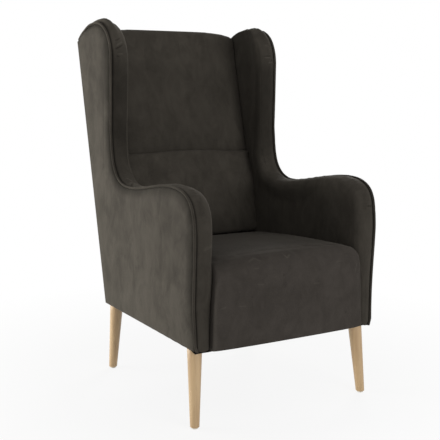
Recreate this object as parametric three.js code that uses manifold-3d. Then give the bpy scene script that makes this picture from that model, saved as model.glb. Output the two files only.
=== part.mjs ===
import * as THREE from "three";
import { mergeVertices } from "three/addons/utils/BufferGeometryUtils.js";
import Module from "manifold-3d";

// Fireside chair with high wings, curved arms, a sprung seat and turned legs.
// Millimetres, +Z up, the sitter faces -Y, the floor is Z = 0.
// Depths are measured backwards from the foot of the arm's front edge.
// Rises are heights above the underside of the base, and setbacks are taken from its rear.

const wasm = await Module();
wasm.setup();

// Overall form
const halfWidth = 289;
const legHeight = 212;
const baseDepth = 579;
const backFrameRun = 832;
const recline = THREE.MathUtils.degToRad(12.9);
const clearance = 0.3;

// Outline of arm and wing, seen from the side
const noseRise = 298;
const noseReach = 7;
const armCrestDepth = 127;
const armRise = 415;
const armDipDepth = 368;
const armDipRise = 386.5;
const wingFrontSetback = 67;
const wingFootAboveDip = 156.5;
const wingShoulderBelowCrest = 123;
const wingCrestOverhang = 66;
const wingCrestAboveCorner = 44.7;
const wingCornerAboveFrame = 4;

// Side construction, from the outside inwards
const weltRadius = 3.5;
const weltGroove = 0.8;
const panelEdgeThickness = 4;
const panelCrown = 2;
const panelRounding = 3;
const boardThickness = 18;
const bandWrap = 16;
const bandEase = 1.5;
const bandCrown = 5;
const wingBandCrown = 8;
const armThickness = 47;
const wingThickness = 59;
const sideCrown = 4;
const sideRounding = 18;
const sideCrownInset = 58;
const boardHoleRadius = 30;
const boardHoleRiseShare = 0.58;

// Base and seat frame
const dustCoverThickness = 1.2;
const dustCoverMargin = 3;
const baseRailHeight = 30;
const baseRailWidth = 45.7;
const railThickness = 22;
const frameSetback = 18;
const seatRailHeight = 46;
const springDeckRise = 133;
const rearRailSetback = 54;
const seatRailSetback = 13;
const armPostDepth = 38;
const armPostBelowArm = 86.7;
const armPostCover = 7.4;

// Back frame, measured along and across the reclined back plane
const backPanelThickness = 6;
const backPanelCrown = 3;
const backFrameThickness = 25;
const topRailWidth = 60;
const lowerRailWidth = 50;
const webbingThickness = 1.8;
const webbingWidth = 50;
const webbingCount = 4;
const backFoamThickness = 20;

// Seat springs, clips, felt and foam
const springCount = 4;
const springWireRadius = 2;
const springWaves = 6;
const springSwing = 24;
const springRise = 11;
const springSteps = 48;
const springSides = 5;
const springSideMargin = 70.7;
const clipWidth = 16;
const clipDepth = 14;
const clipThickness = 1.5;
const feltThickness = 3;
const seatFoamThickness = 31;
const foamMargin = 1;
const seatFoamEndMargin = 10;

// Seat pad
const seatFrontReach = 21;
const seatFrontCrown = 4;
const seatFootRounding = 9;
const seatEdgeRounding = 46;
const seatFrontPadding = 43.8;
const seatRearPadding = 13.8;
const seatCrown = 13;
const seatEndSetback = 57;
const seatEndRounding = 8;
const seatBackGap = 2.8;
const padSideRounding = 7;

// Back pads
const lumbarThickness = 106;
const lumbarCrown = 9;
const lumbarFallRun = 119;
const lumbarFootRounding = 10;
const seamRun = 459;
const seamThickness = 76;
const seamFlank = 9;
const seamRise = 8;
const upperThickness = 79;
const upperTopThickness = 68;
const upperCrown = 8;
const upperShoulderBelowFrame = 10;
const backTopAboveFrame = 16;
const backTopCrown = 15;
const backTopThickness = 42;

// Legs, glides and leg bolts
const legTopRadius = 20;
const legFootRadius = 12.5;
const legRoundingHeight = 2;
const legSideInset = 25.5;
const legFrontInset = 45;
const legRearSetback = 22;
const frontSplay = { side: 11.5, depth: -21 };
const rearSplay = { side: 4.5, depth: 27 };
const glideRadius = 9;
const glideThickness = 4;
const glideBevel = 1;
const boltRadius = 4;
const boltLegLength = 35;
const boltTopMargin = 3;

// Smoothness of the meshes
const edgeDivisions = [6, 7, 5, 8, 2, 7, 5];
const padStations = 16;
const weltSides = 6;
const weltSteps = 62;
const turnedSides = 20;
const smallSides = 12;
const cutOverrun = 60;

// Levels and planes that follow from the sizes above
const weltPlane = halfWidth - weltRadius;
const panelPlane = weltPlane - weltRadius;
const bandPlane = panelPlane - clearance;
const boardInnerPlane = bandPlane - boardThickness;
const innerLayerPlane = boardInnerPlane - clearance;
const armPlane = halfWidth - armThickness;
const armPostThickness = innerLayerPlane - armPlane - armPostCover;
const baseRailInner = bandPlane - baseRailWidth;
const crossRailHalf = baseRailInner - clearance;
const railBase = legHeight + dustCoverThickness + clearance;
const baseRailTop = railBase + baseRailHeight;
const railFront = frameSetback + clearance;
const rearRailDepth = baseDepth - rearRailSetback;
const springDeckHeight = legHeight + springDeckRise;
const armPostTop = legHeight + armRise - armPostBelowArm;
const wingFrontDepth = baseDepth - wingFrontSetback;
const wingCornerRun = backFrameRun + wingCornerAboveFrame;
const webbingFloor = backPanelThickness + backFrameThickness + 2 * clearance;
const foamFloor = webbingFloor + webbingThickness + clearance;
const padFloor = foamFloor + backFoamThickness + clearance;
const frameFloor = backPanelThickness + clearance;
const springTop = springDeckHeight + clearance + springRise + 2 * springWireRadius;
const feltBase = springTop + clearance;
const seatFoamBase = feltBase + feltThickness + clearance;
const seatFoamTop = seatFoamBase + seatFoamThickness;
const seatPadBase = seatFoamTop + clearance;
const seatEndDepth = baseDepth - seatEndSetback;
const seatFoamDepth = seatEndDepth - seatFoamEndMargin;
const seatFrontHeight = seatPadBase + seatFrontPadding;
const seatRearHeight = seatPadBase + seatRearPadding;
const backStartRise = seatRearHeight + seatBackGap - legHeight;
const backStartRun = backStartRise * Math.cos(recline) - seatEndSetback * Math.sin(recline);

const chair = new THREE.Group();

const finishes = {
  velvet: { color: 0x3b3731, roughness: 0.9, metalness: 0 },
  velvetSide: { color: 0x4a463f, roughness: 0.9, metalness: 0 },
  beech: { color: 0xbda47f, roughness: 0.5, metalness: 0 },
  pine: { color: 0xcdb58a, roughness: 0.75, metalness: 0 },
  plywood: { color: 0xc2a06a, roughness: 0.7, metalness: 0 },
  foam: { color: 0xe4dcc0, roughness: 0.95, metalness: 0 },
  felt: { color: 0x6f6c66, roughness: 1, metalness: 0 },
  webbing: { color: 0x3a3630, roughness: 0.9, metalness: 0 },
  springSteel: { color: 0x8a8c8e, roughness: 0.35, metalness: 1 },
  zincSteel: { color: 0xb4b6b8, roughness: 0.4, metalness: 1 },
  nylon: { color: 0xd8d4c8, roughness: 0.5, metalness: 0 },
  liner: { color: 0x1c1b1a, roughness: 0.95, metalness: 0 },
};

function addPart(name, geometry, finish) {
  geometry.computeVertexNormals();
  const part = new THREE.Mesh(geometry, new THREE.MeshStandardMaterial(finish));
  part.name = name;
  chair.add(part);
  return part;
}

// Geometry made of shared vertices and triangles, turned to face outwards.
function skin(points, triangles) {
  let volume = 0;
  for (const [a, b, c] of triangles) {
    volume += points[a].dot(new THREE.Vector3().crossVectors(points[b], points[c]));
  }
  const faces = volume < 0 ? triangles.map(([a, b, c]) => [a, c, b]) : triangles;
  const geometry = new THREE.BufferGeometry().setFromPoints(points);
  geometry.setIndex(faces.flat());
  return geometry;
}

// Joins loops with equal numbers of points into one closed body with flat ends.
function loft(loops, flatten) {
  const clockwise = THREE.ShapeUtils.area(loops[0].map(flatten)) < 0;
  const rings = clockwise ? loops.map((loop) => [...loop].reverse()) : loops;
  const count = rings[0].length;
  const triangles = [];
  for (let ring = 0; ring + 1 < rings.length; ring += 1) {
    for (let side = 0; side < count; side += 1) {
      const next = (side + 1) % count;
      const near = ring * count;
      const far = near + count;
      triangles.push([near + side, near + next, far + next]);
      triangles.push([near + side, far + next, far + side]);
    }
  }
  const last = (rings.length - 1) * count;
  for (const [a, b, c] of THREE.ShapeUtils.triangulateShape(rings[0].map(flatten), [])) {
    triangles.push([c, b, a]);
  }
  for (const [a, b, c] of THREE.ShapeUtils.triangulateShape(rings.at(-1).map(flatten), [])) {
    triangles.push([last + a, last + b, last + c]);
  }
  return skin(rings.flat(), triangles);
}

const sideView = (point) => new THREE.Vector2(point.y, point.z);
const topView = (point) => new THREE.Vector2(point.x, point.y);

// Points on an arc, with separate radii for its two directions.
function arc(middle, radii, fromAngle, toAngle, steps) {
  const points = [];
  for (let step = 0; step <= steps; step += 1) {
    const angle = THREE.MathUtils.lerp(fromAngle, toAngle, step / steps);
    const x = middle.x + radii.x * Math.cos(angle);
    points.push(new THREE.Vector2(x, middle.y + radii.y * Math.sin(angle)));
  }
  return points;
}

// The corners of a round outline, each named once.
function round(middle, radius, sides) {
  const radii = new THREE.Vector2(radius, radius);
  return arc(middle, radii, 0, 2 * Math.PI, sides).slice(1);
}

// A side-view outline of depth and height, pushed out between two planes of X.
function prism(outline, fromSide, toSide, holes = []) {
  const shape = new THREE.Shape(outline);
  shape.holes.push(...holes);
  const settings = { depth: toSide - fromSide, bevelEnabled: false, curveSegments: smallSides };
  const geometry = new THREE.ExtrudeGeometry(shape, settings);
  const depthAxis = new THREE.Vector3(0, 1, 0);
  const heightAxis = new THREE.Vector3(0, 0, 1);
  const sideAxis = new THREE.Vector3(1, 0, 0);
  geometry.applyMatrix4(new THREE.Matrix4().makeBasis(depthAxis, heightAxis, sideAxis));
  return geometry.translate(fromSide, 0, 0);
}

function block(side, depth, height) {
  const geometry = new THREE.BoxGeometry(side[1] - side[0], depth[1] - depth[0], height[1] - height[0]);
  const middle = (span) => (span[0] + span[1]) / 2;
  return geometry.translate(middle(side), middle(depth), middle(height));
}

function upright(radius, base, top, side, depth, sides = smallSides) {
  const geometry = new THREE.CylinderGeometry(radius, radius, top - base, sides);
  geometry.rotateX(Math.PI / 2);
  return geometry.translate(side, depth, (base + top) / 2);
}

function bareGeometry(geometry) {
  const bare = geometry.clone();
  bare.deleteAttribute("normal");
  bare.deleteAttribute("uv");
  return mergeVertices(bare);
}

function toManifold(geometry) {
  const bare = bareGeometry(geometry);
  const vertProperties = new Float32Array(bare.attributes.position.array);
  const triVerts = new Uint32Array(bare.index.array);
  return new wasm.Manifold(new wasm.Mesh({ numProp: 3, vertProperties, triVerts }));
}

function fromManifold(body) {
  const mesh = body.getMesh();
  const geometry = new THREE.BufferGeometry();
  geometry.setAttribute("position", new THREE.BufferAttribute(mesh.vertProperties, mesh.numProp));
  geometry.setIndex(new THREE.BufferAttribute(mesh.triVerts, 1));
  return geometry;
}

function cut(geometry, tools) {
  const carve = (body, tool) => body.subtract(toManifold(tool));
  return fromManifold(tools.reduce(carve, toManifold(geometry)));
}

function mirrored(geometry) {
  const twin = bareGeometry(geometry).scale(-1, 1, 1);
  const index = twin.index.array;
  for (let corner = 0; corner < index.length; corner += 3) {
    [index[corner + 1], index[corner + 2]] = [index[corner + 2], index[corner + 1]];
  }
  return twin;
}

function addPair(name, geometry, finish) {
  addPart(`${name}_right`, geometry, finish);
  addPart(`${name}_left`, mirrored(geometry), finish);
}

// A point on the reclined back: run goes up along its rear face, thickness goes forwards.
function backPoint(run, thickness) {
  const depth = baseDepth + run * Math.sin(recline) - thickness * Math.cos(recline);
  const height = legHeight + run * Math.cos(recline) + thickness * Math.sin(recline);
  return new THREE.Vector2(depth, height);
}

// The point at a given thickness of the reclined back that lies at a given height.
function backPointAtHeight(height, thickness) {
  const run = (height - legHeight - thickness * Math.sin(recline)) / Math.cos(recline);
  return backPoint(run, thickness);
}

// A slab of the back between two runs and two thicknesses, across a span of X.
function backSlab(runs, thicknesses, side) {
  const outline = [
    backPoint(runs[0], thicknesses[0]),
    backPoint(runs[1], thicknesses[0]),
    backPoint(runs[1], thicknesses[1]),
    backPoint(runs[0], thicknesses[1]),
  ];
  return prism(outline, side[0], side[1]);
}

// One bend of the outline. Its handles are shares of the height or depth between its ends.
function bend(start, startHandleShare, endHandleShare, end) {
  const span = new THREE.Vector2().subVectors(end, start);
  const startHandle = startHandleShare.clone().multiply(span).add(start);
  const endHandle = endHandleShare.clone().multiply(span).add(start);
  return new THREE.CubicBezierCurve(start, startHandle, endHandle, end);
}

const share = (depthShare, heightShare) => new THREE.Vector2(depthShare, heightShare);

// The outline from the front foot over arm and wing to the rear top corner.
function edgeBends() {
  const foot = new THREE.Vector2(0, legHeight);
  const nose = new THREE.Vector2(-noseReach, legHeight + noseRise);
  const armCrest = new THREE.Vector2(armCrestDepth, legHeight + armRise);
  const armDip = new THREE.Vector2(armDipDepth, legHeight + armDipRise);
  const wingFoot = new THREE.Vector2(wingFrontDepth, armDip.y + wingFootAboveDip);
  const corner = backPoint(wingCornerRun, frameFloor);
  const wingCrest = new THREE.Vector2(baseDepth + wingCrestOverhang, corner.y + wingCrestAboveCorner);
  const wingShoulder = new THREE.Vector2(wingFrontDepth, wingCrest.y - wingShoulderBelowCrest);
  return [
    bend(foot, share(-1, 0.44), share(1, 0.72), nose),
    bend(nose, share(0, 0.74), share(0.27, 1), armCrest),
    bend(armCrest, share(0.32, 0), share(0.67, 1), armDip),
    bend(armDip, share(0.72, 0), share(0.9, 0.2), wingFoot),
    bend(wingFoot, share(0, 0.3), share(0, 0.7), wingShoulder),
    bend(wingShoulder, share(0, 0.6), share(0.36, 1), wingCrest),
    bend(wingCrest, share(0.42, 0), share(0.75, 0.56), corner),
  ];
}

// Stations along the outline, each with the direction in which an inset moves it
// and the crown of the padded band there, which is fuller round the top of the wing.
// The first slides along the floor line and the last down the rear edge.
function edgeStations() {
  const stations = [];
  const foreheadBend = 5;
  edgeBends().forEach((curve, index) => {
    const divisions = edgeDivisions[index];
    for (let step = index === 0 ? 0 : 1; step <= divisions; step += 1) {
      const along = step / divisions;
      const tangent = curve.getTangent(along);
      const inward = new THREE.Vector2(tangent.y, -tangent.x);
      const fromForehead = Math.abs(index + along - foreheadBend - 1 / 2) / 2;
      const crown = blendBetween(wingBandCrown, bandCrown, Math.min(1, fromForehead));
      stations.push({ point: curve.getPoint(along), inward, crown });
    }
  });
  stations[0].inward.set(1, 0);
  stations.at(-1).inward.set(-Math.sin(recline), -Math.cos(recline));
  return stations;
}

const stations = edgeStations();

// The outline moved inwards by an inset, or outwards by a share of the band's crown.
function insetEdge(inset, crownShare = 0) {
  return stations.map(({ point, inward, crown }) => {
    const move = inset - crown * crownShare;
    return inward.clone().multiplyScalar(move).add(point);
  });
}

// The whole side outline: the inset edge, closed down the rear and along the foot.
function sideLoop(inset, rearThickness, footHeight, crownShare) {
  const loop = insetEdge(inset, crownShare);
  const climb = (footHeight - loop[0].y) / (loop[1].y - loop[0].y);
  loop[0].lerp(loop[1], climb);
  if (rearThickness < frameFloor) {
    loop.push(backPoint(wingCornerRun - inset - frameFloor, rearThickness));
  }
  loop.push(backPointAtHeight(footHeight, rearThickness));
  return loop;
}

const atSide = (side) => (point) => new THREE.Vector3(side, point.x, point.y);

// Where the inner face of the side lies at a given depth: the padding thickens towards the wing.
function innerFace(depth) {
  return armPlane - ((wingThickness - armThickness) * depth) / wingFrontDepth;
}

// The span of the foam cores, as wide as the narrowest place between the sides lets them be.
function foamSpan() {
  const half = innerFace(backPoint(backFrameRun, 0).x) - foamMargin;
  return [-half, half];
}

// A point of a pad that fills a share of the room between the two sides.
function betweenSides(stationShare) {
  return (point) => new THREE.Vector3(stationShare * (innerFace(point.x) - clearance), point.x, point.y);
}

function sideRing(side, inset, rearThickness, crownShare) {
  return sideLoop(inset, rearThickness, legHeight, crownShare).map(atSide(side));
}

// A ring of the inner face, a given distance outside its plane.
function innerRing(outwards, inset, crownShare) {
  const onFace = (point) => new THREE.Vector3(innerFace(point.x) + outwards, point.x, point.y);
  return sideLoop(inset, frameFloor, legHeight, crownShare).map(onFace);
}

// The insets and sunken depths of a quarter round.
function quarterRound(radius, steps) {
  const rounds = [];
  for (let step = 0; step <= steps; step += 1) {
    const angle = (step / steps) * (Math.PI / 2);
    rounds.push({ inset: radius * (1 - Math.cos(angle)), sunk: radius * (1 - Math.sin(angle)) });
  }
  return rounds;
}

// Everything that the board, rails and posts take out of the padded inner side.
function sideRecesses() {
  const wrap = bandWrap - clearance;
  const boardSpace = [
    new THREE.Vector2(wrap, legHeight - cutOverrun),
    ...insetEdge(wrap),
    backPoint(wingCornerRun - wrap, -cutOverrun),
    backPoint(-cutOverrun, -cutOverrun),
  ];
  const frameSpaceDepth = [frameSetback, baseDepth + cutOverrun];
  const frameSpaceHeight = [legHeight - cutOverrun, springDeckHeight + clearance];
  const wholeSide = [armPlane - cutOverrun, halfWidth + cutOverrun];
  const innerLayer = [armPlane - cutOverrun, innerLayerPlane];
  const armPostSide = [innerLayerPlane - armPostThickness - clearance, innerLayerPlane + boardThickness];
  const armPostSpace = [frameSetback, railFront + armPostDepth + clearance];
  return [
    prism(boardSpace, innerLayerPlane, halfWidth + cutOverrun),
    block(wholeSide, frameSpaceDepth, frameSpaceHeight),
    backSlab([-cutOverrun, backFrameRun + clearance], [-cutOverrun, foamFloor], innerLayer),
    block(armPostSide, armPostSpace, [springDeckHeight, armPostTop + clearance]),
  ];
}

// The padded inside of arm and wing with the band that wraps forwards over the board.
function makeSidePads() {
  const roundingSteps = 4;
  const edgeRounds = quarterRound(sideRounding, roundingSteps);
  const rings = [
    sideRing(bandPlane, bandEase, frameFloor),
    sideRing(boardInnerPlane, 0, frameFloor, 1),
    ...edgeRounds.map(({ inset, sunk }) => innerRing(sideCrown + sunk, inset, 1 / 2)),
    innerRing(0, sideCrownInset),
  ];
  addPair("side_pad", cut(loft(rings, sideView), sideRecesses()), finishes.velvet);
}

// The padded outer cover of each side, with the welt round its edge.
function makeOuterSides() {
  const edgeInset = weltRadius + weltGroove;
  const roundPlane = panelPlane + panelEdgeThickness + panelRounding;
  const roundingSteps = 2;
  const edgeRounds = quarterRound(panelRounding, roundingSteps);
  const rings = [
    sideRing(panelPlane, edgeInset, 0),
    ...edgeRounds.map(({ inset, sunk }) => sideRing(roundPlane - sunk, edgeInset + inset, 0)),
    sideRing(roundPlane + panelCrown, sideCrownInset, 0),
  ];
  addPair("outer_side_panel", loft(rings, sideView), finishes.velvetSide);
  const path = new THREE.CurvePath();
  for (const curve of edgeBends()) {
    const [v0, v1, v2, v3] = [curve.v0, curve.v1, curve.v2, curve.v3].map(atSide(weltPlane));
    path.add(new THREE.CubicBezierCurve3(v0, v1, v2, v3));
  }
  const section = new THREE.Shape(round(new THREE.Vector2(), weltRadius, weltSides));
  const settings = { steps: weltSteps, extrudePath: path, bevelEnabled: false };
  addPair("welt", new THREE.ExtrudeGeometry(section, settings), finishes.velvet);
}

// Plywood profile of each side, with three round holes for the webbing hands.
function makeSideBoards() {
  const outline = sideLoop(bandWrap, frameFloor, baseRailTop + clearance);
  const armHoleHeight = legHeight + armRise * boardHoleRiseShare;
  const wingHoleHeight = legHeight + armDipRise + wingFootAboveDip;
  const places = [
    { front: 0, depthShare: 0.22, height: armHoleHeight },
    { front: 0, depthShare: 0.68, height: armHoleHeight },
    { front: wingFrontDepth, depthShare: 0.54, height: wingHoleHeight },
  ];
  const holes = places.map(({ front, depthShare, height }) => {
    const depth = THREE.MathUtils.lerp(front, backPointAtHeight(height, 0).x, depthShare);
    return new THREE.Path(round(new THREE.Vector2(depth, height), boardHoleRadius, turnedSides));
  });
  addPair("side_board", prism(outline, boardInnerPlane, bandPlane, holes), finishes.plywood);
}

const legTopSide = halfWidth - legSideInset;
const legs = [
  { name: "front", depth: legFrontInset, splay: frontSplay },
  { name: "rear", depth: baseDepth - legRearSetback, splay: rearSplay },
];

function boltHole(leg, base, top) {
  return upright(boltRadius + clearance, base, top, legTopSide, leg.depth);
}

// Bottom rails, seat rails, cross rails and the posts in the arm fronts.
function makeSeatFrame() {
  const baseRailRear = backPointAtHeight(railBase, frameFloor).x - clearance;
  const baseRail = block([baseRailInner, bandPlane], [railFront, baseRailRear], [railBase, baseRailTop]);
  const holeTop = baseRailTop + cutOverrun;
  const holes = legs.map((leg) => boltHole(leg, legHeight - cutOverrun, holeTop));
  addPair("base_rail", cut(baseRail, holes), finishes.beech);
  const seatRailSide = [baseRailInner, innerLayerPlane];
  const seatRailSpan = [springDeckHeight - seatRailHeight, springDeckHeight];
  const seatRailDepth = [railFront, baseDepth - seatRailSetback];
  addPair("seat_rail", block(seatRailSide, seatRailDepth, seatRailSpan), finishes.pine);
  const crossSpan = [-crossRailHalf, crossRailHalf];
  const crossHeight = [railBase, springDeckHeight];
  const frontRail = block(crossSpan, [railFront, railFront + railThickness], crossHeight);
  addPart("front_rail", frontRail, finishes.plywood);
  const rearRail = block(crossSpan, [rearRailDepth, rearRailDepth + railThickness], crossHeight);
  addPart("rear_rail", rearRail, finishes.plywood);
  const postSide = [innerLayerPlane - armPostThickness, innerLayerPlane];
  const postHeight = [springDeckHeight + clearance, armPostTop];
  addPair("arm_post", block(postSide, [railFront, railFront + armPostDepth], postHeight), finishes.pine);
}

// Posts, rails and webbing of the reclined back.
function makeBackFrame() {
  const frameFront = frameFloor + backFrameThickness;
  const postFoot = baseRailTop + clearance;
  const postOutline = [
    backPointAtHeight(postFoot, frameFloor),
    backPoint(backFrameRun, frameFloor),
    backPoint(backFrameRun, frameFront),
    backPointAtHeight(postFoot, frameFront),
  ];
  addPair("back_post", prism(postOutline, baseRailInner, innerLayerPlane), finishes.beech);
  const span = [-crossRailHalf, crossRailHalf];
  const layer = [frameFloor, frameFront];
  const topRail = backSlab([backFrameRun - topRailWidth, backFrameRun], layer, span);
  addPart("back_top_rail", topRail, finishes.beech);
  const lowerRail = backSlab([backStartRun, backStartRun + lowerRailWidth], layer, span);
  addPart("back_lower_rail", lowerRail, finishes.beech);
  const webbingHalf = innerLayerPlane - clearance;
  const webbingLayer = [webbingFloor, webbingFloor + webbingThickness];
  const firstRun = backStartRun + lowerRailWidth;
  const openRun = backFrameRun - topRailWidth - firstRun;
  const pitch = openRun / webbingCount;
  for (let strap = 0; strap < webbingCount; strap += 1) {
    const start = firstRun + pitch * strap + (pitch - webbingWidth) / 2;
    const band = backSlab([start, start + webbingWidth], webbingLayer, [-webbingHalf, webbingHalf]);
    addPart(`back_webbing_${strap + 1}`, band, finishes.webbing);
  }
}

// Zigzag springs across the seat, the clips at their ends and the felt on top.
function makeSprings() {
  const frontSeat = railFront + railThickness / 2;
  const rearSeat = rearRailDepth + railThickness / 2;
  const wireBase = springDeckHeight + clearance + springWireRadius;
  const outerSpring = crossRailHalf - springSideMargin;
  const section = new THREE.Shape(round(new THREE.Vector2(), springWireRadius, springSides));
  for (let spring = 0; spring < springCount; spring += 1) {
    const middle = outerSpring * ((2 * spring) / (springCount - 1) - 1);
    const hand = Math.sign(middle);
    const points = [];
    for (let step = 0; step <= springSteps; step += 1) {
      const along = step / springSteps;
      const swing = hand * springSwing * Math.sin(along * springWaves * 2 * Math.PI);
      const rise = springRise * Math.sin(along * Math.PI);
      const depth = THREE.MathUtils.lerp(frontSeat, rearSeat, along);
      points.push(new THREE.Vector3(middle + swing, depth, wireBase + rise));
    }
    const extrudePath = new THREE.CatmullRomCurve3(points);
    const settings = { steps: 2 * springSteps, extrudePath, bevelEnabled: false };
    const wire = new THREE.ExtrudeGeometry(section, settings);
    addPart(`seat_spring_${spring + 1}`, wire, finishes.springSteel);
    addClip(`spring_clip_front_${spring + 1}`, middle, frontSeat, -1);
    addClip(`spring_clip_rear_${spring + 1}`, middle, rearSeat, 1);
  }
  const feltSide = foamSpan();
  const felt = block(feltSide, [railFront, seatFoamDepth], [feltBase, feltBase + feltThickness]);
  addPart("spring_felt", felt, finishes.felt);
}

// A folded steel clip that stands on the rail behind the end of a spring.
function addClip(name, side, depth, outward) {
  const gap = springWireRadius + clearance;
  const height = 2 * gap + clipThickness;
  const outline = new THREE.Shape();
  outline.moveTo(outward * gap, 0);
  outline.lineTo(outward * clipDepth / 2, 0);
  outline.lineTo(outward * clipDepth / 2, height);
  outline.lineTo(-outward * clipDepth / 2, height);
  outline.lineTo(-outward * clipDepth / 2, height - clipThickness);
  outline.lineTo(outward * (clipDepth / 2 - clipThickness), height - clipThickness);
  outline.lineTo(outward * (clipDepth / 2 - clipThickness), clipThickness);
  outline.lineTo(outward * gap, clipThickness);
  const points = outline.getPoints();
  const place = new THREE.Vector2(depth, springDeckHeight + clearance);
  const moved = points.map((point) => point.clone().add(place));
  addPart(name, prism(moved, side - clipWidth / 2, side + clipWidth / 2), finishes.zincSteel);
}

// The draw-in of a pad near its two sides, from 0 at the middle to 1 at the edge.
function sideDraw(stationShare) {
  const steepness = 10;
  return Math.abs(stationShare) ** steepness;
}

// A crown that is 1 in the middle and 0 at the sides.
function crownShape(stationShare) {
  const fullness = 2.4;
  return 1 - Math.abs(stationShare) ** fullness;
}

// Stations across a pad, closer together near its sides, from -1 to 1.
function padStationShares() {
  const shares = [];
  for (let step = 0; step <= padStations; step += 1) {
    const linear = (2 * step) / padStations - 1;
    shares.push(Math.sin((linear * Math.PI) / 2));
  }
  return shares;
}

// The seat's section at one station: skirt, rolled front edge, sloping top, flat underside.
function seatSection(stationShare) {
  const draw = padSideRounding * sideDraw(stationShare);
  const crown = crownShape(stationShare);
  const front = -seatFrontReach - seatFrontCrown * crown + draw;
  const foot = legHeight;
  const rise = seatCrown * crown - draw;
  const top = seatFrontHeight + rise;
  const rearTop = seatRearHeight - draw / 2;
  const radius = seatEdgeRounding;
  const quarter = Math.PI / 2;
  const footRadii = new THREE.Vector2(seatFootRounding, seatFootRounding);
  const footMiddle = new THREE.Vector2(front + seatFootRounding, foot + seatFootRounding);
  const edgeMiddle = new THREE.Vector2(front + radius, top - radius);
  const endMiddle = new THREE.Vector2(seatEndDepth - seatEndRounding, rearTop - seatEndRounding);
  const endRadii = new THREE.Vector2(seatEndRounding, seatEndRounding);
  const slope = [];
  const slopeSteps = 5;
  const slopeEasing = 1.6;
  for (let step = 1; step < slopeSteps; step += 1) {
    const along = step / slopeSteps;
    const depth = THREE.MathUtils.lerp(edgeMiddle.x, endMiddle.x, along);
    const height = THREE.MathUtils.lerp(top, rearTop, along ** slopeEasing);
    slope.push(new THREE.Vector2(depth, height));
  }
  return [
    new THREE.Vector2(frameSetback, foot),
    ...arc(footMiddle, footRadii, -quarter, -2 * quarter, 2),
    ...arc(edgeMiddle, new THREE.Vector2(radius, radius), 2 * quarter, quarter, 5),
    ...slope,
    ...arc(endMiddle, endRadii, quarter, 0, 2),
    new THREE.Vector2(seatEndDepth, seatPadBase),
    new THREE.Vector2(frameSetback, seatPadBase),
  ];
}

function padLoft(section) {
  const shares = padStationShares();
  const loops = shares.map((stationShare) => section(stationShare).map(betweenSides(stationShare)));
  return loft(loops, sideView);
}

function makeSeat() {
  addPart("seat_pad", padLoft(seatSection), finishes.velvet);
  const foamDepth = [railFront, seatFoamDepth];
  const foam = block(foamSpan(), foamDepth, [seatFoamBase, seatFoamTop]);
  addPart("seat_foam_core", foam, finishes.foam);
}

// Eases from one value to another with level ends.
function blendBetween(from, to, along) {
  return THREE.MathUtils.lerp(from, to, THREE.MathUtils.smoothstep(along, 0, 1));
}

function toSideView(runAndThickness) {
  return runAndThickness.map(([run, thickness]) => backPoint(run, thickness));
}

// The lumbar pad's section: full at the seat, falling back to the seam.
function lumbarSection(stationShare) {
  const draw = padSideRounding * sideDraw(stationShare);
  const bulge = lumbarCrown * crownShape(stationShare) - draw;
  const full = lumbarThickness + bulge;
  const footShares = [0, 0.35, 0.8];
  const riseShares = [0.2, 0.4, 0.6, 0.8];
  const seamTop = seamThickness + seamRise + bulge / 2;
  const seamStart = seamRun - seamFlank;
  const lumbarHoldRun = seamRun - lumbarFallRun;
  return toSideView([
    [backStartRun, padFloor],
    ...footShares.map((level) => {
      const angle = level * (Math.PI / 2);
      const run = backStartRun + lumbarFootRounding * (1 - Math.cos(angle));
      return [run, full - lumbarFootRounding * (1 - Math.sin(angle))];
    }),
    [(backStartRun + lumbarHoldRun) / 2, full],
    [lumbarHoldRun, full],
    ...riseShares.map((level) => {
      const run = THREE.MathUtils.lerp(lumbarHoldRun, seamStart, level);
      return [run, blendBetween(full, seamTop, level)];
    }),
    [seamStart, seamTop],
    [seamRun - seamFlank / 3, seamTop - seamRise / 3],
    [seamRun, seamThickness],
    [seamRun, padFloor],
  ]);
}

// The upper pad's section: from the seam up and over the top rail to the outer back.
function upperSection(stationShare) {
  const draw = padSideRounding * sideDraw(stationShare);
  const bulge = upperCrown * crownShape(stationShare) - draw;
  const start = seamRun + clearance;
  const full = upperThickness + bulge;
  const shoulder = upperTopThickness + bulge / 2;
  const endSteepness = 6;
  const endFall = Math.abs(stationShare) ** endSteepness;
  const top = backFrameRun + backTopAboveFrame + backTopCrown * (1 - endFall);
  const upperShoulderRun = backFrameRun - upperShoulderBelowFrame;
  const faceShares = [0.2, 0.4, 0.6, 0.8];
  const quarterShares = [0.3, 0.6, 0.85];
  const rearFloor = 0;
  const rearStart = backFrameRun + clearance;
  return toSideView([
    [start, padFloor],
    [start, seamThickness],
    [start + seamFlank / 3, seamThickness + seamRise / 3],
    [start + seamFlank, Math.min(full, seamThickness + seamRise)],
    ...faceShares.map((level) => {
      const run = THREE.MathUtils.lerp(start + seamFlank, upperShoulderRun, level);
      return [run, THREE.MathUtils.lerp(full, shoulder, level ** 2)];
    }),
    [upperShoulderRun, shoulder],
    ...quarterShares.map((level) => {
      const angle = level * (Math.PI / 2);
      const run = upperShoulderRun + (top - upperShoulderRun) * Math.sin(angle);
      return [run, backTopThickness + (shoulder - backTopThickness) * Math.cos(angle)];
    }),
    [top, backTopThickness],
    ...quarterShares.map((level) => {
      const angle = level * (Math.PI / 2);
      const run = rearStart + (top - rearStart) * Math.cos(angle);
      return [run, backTopThickness * (1 - Math.sin(angle))];
    }),
    [rearStart, rearFloor],
    [rearStart, padFloor],
  ]);
}

function makeBackPads() {
  addPart("lumbar_pad", padLoft(lumbarSection), finishes.velvet);
  addPart("upper_back_pad", padLoft(upperSection), finishes.velvet);
  const foamLayer = [foamFloor, foamFloor + backFoamThickness];
  const foam = backSlab([backStartRun, backFrameRun], foamLayer, foamSpan());
  addPart("back_foam_core", foam, finishes.foam);
}

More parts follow.
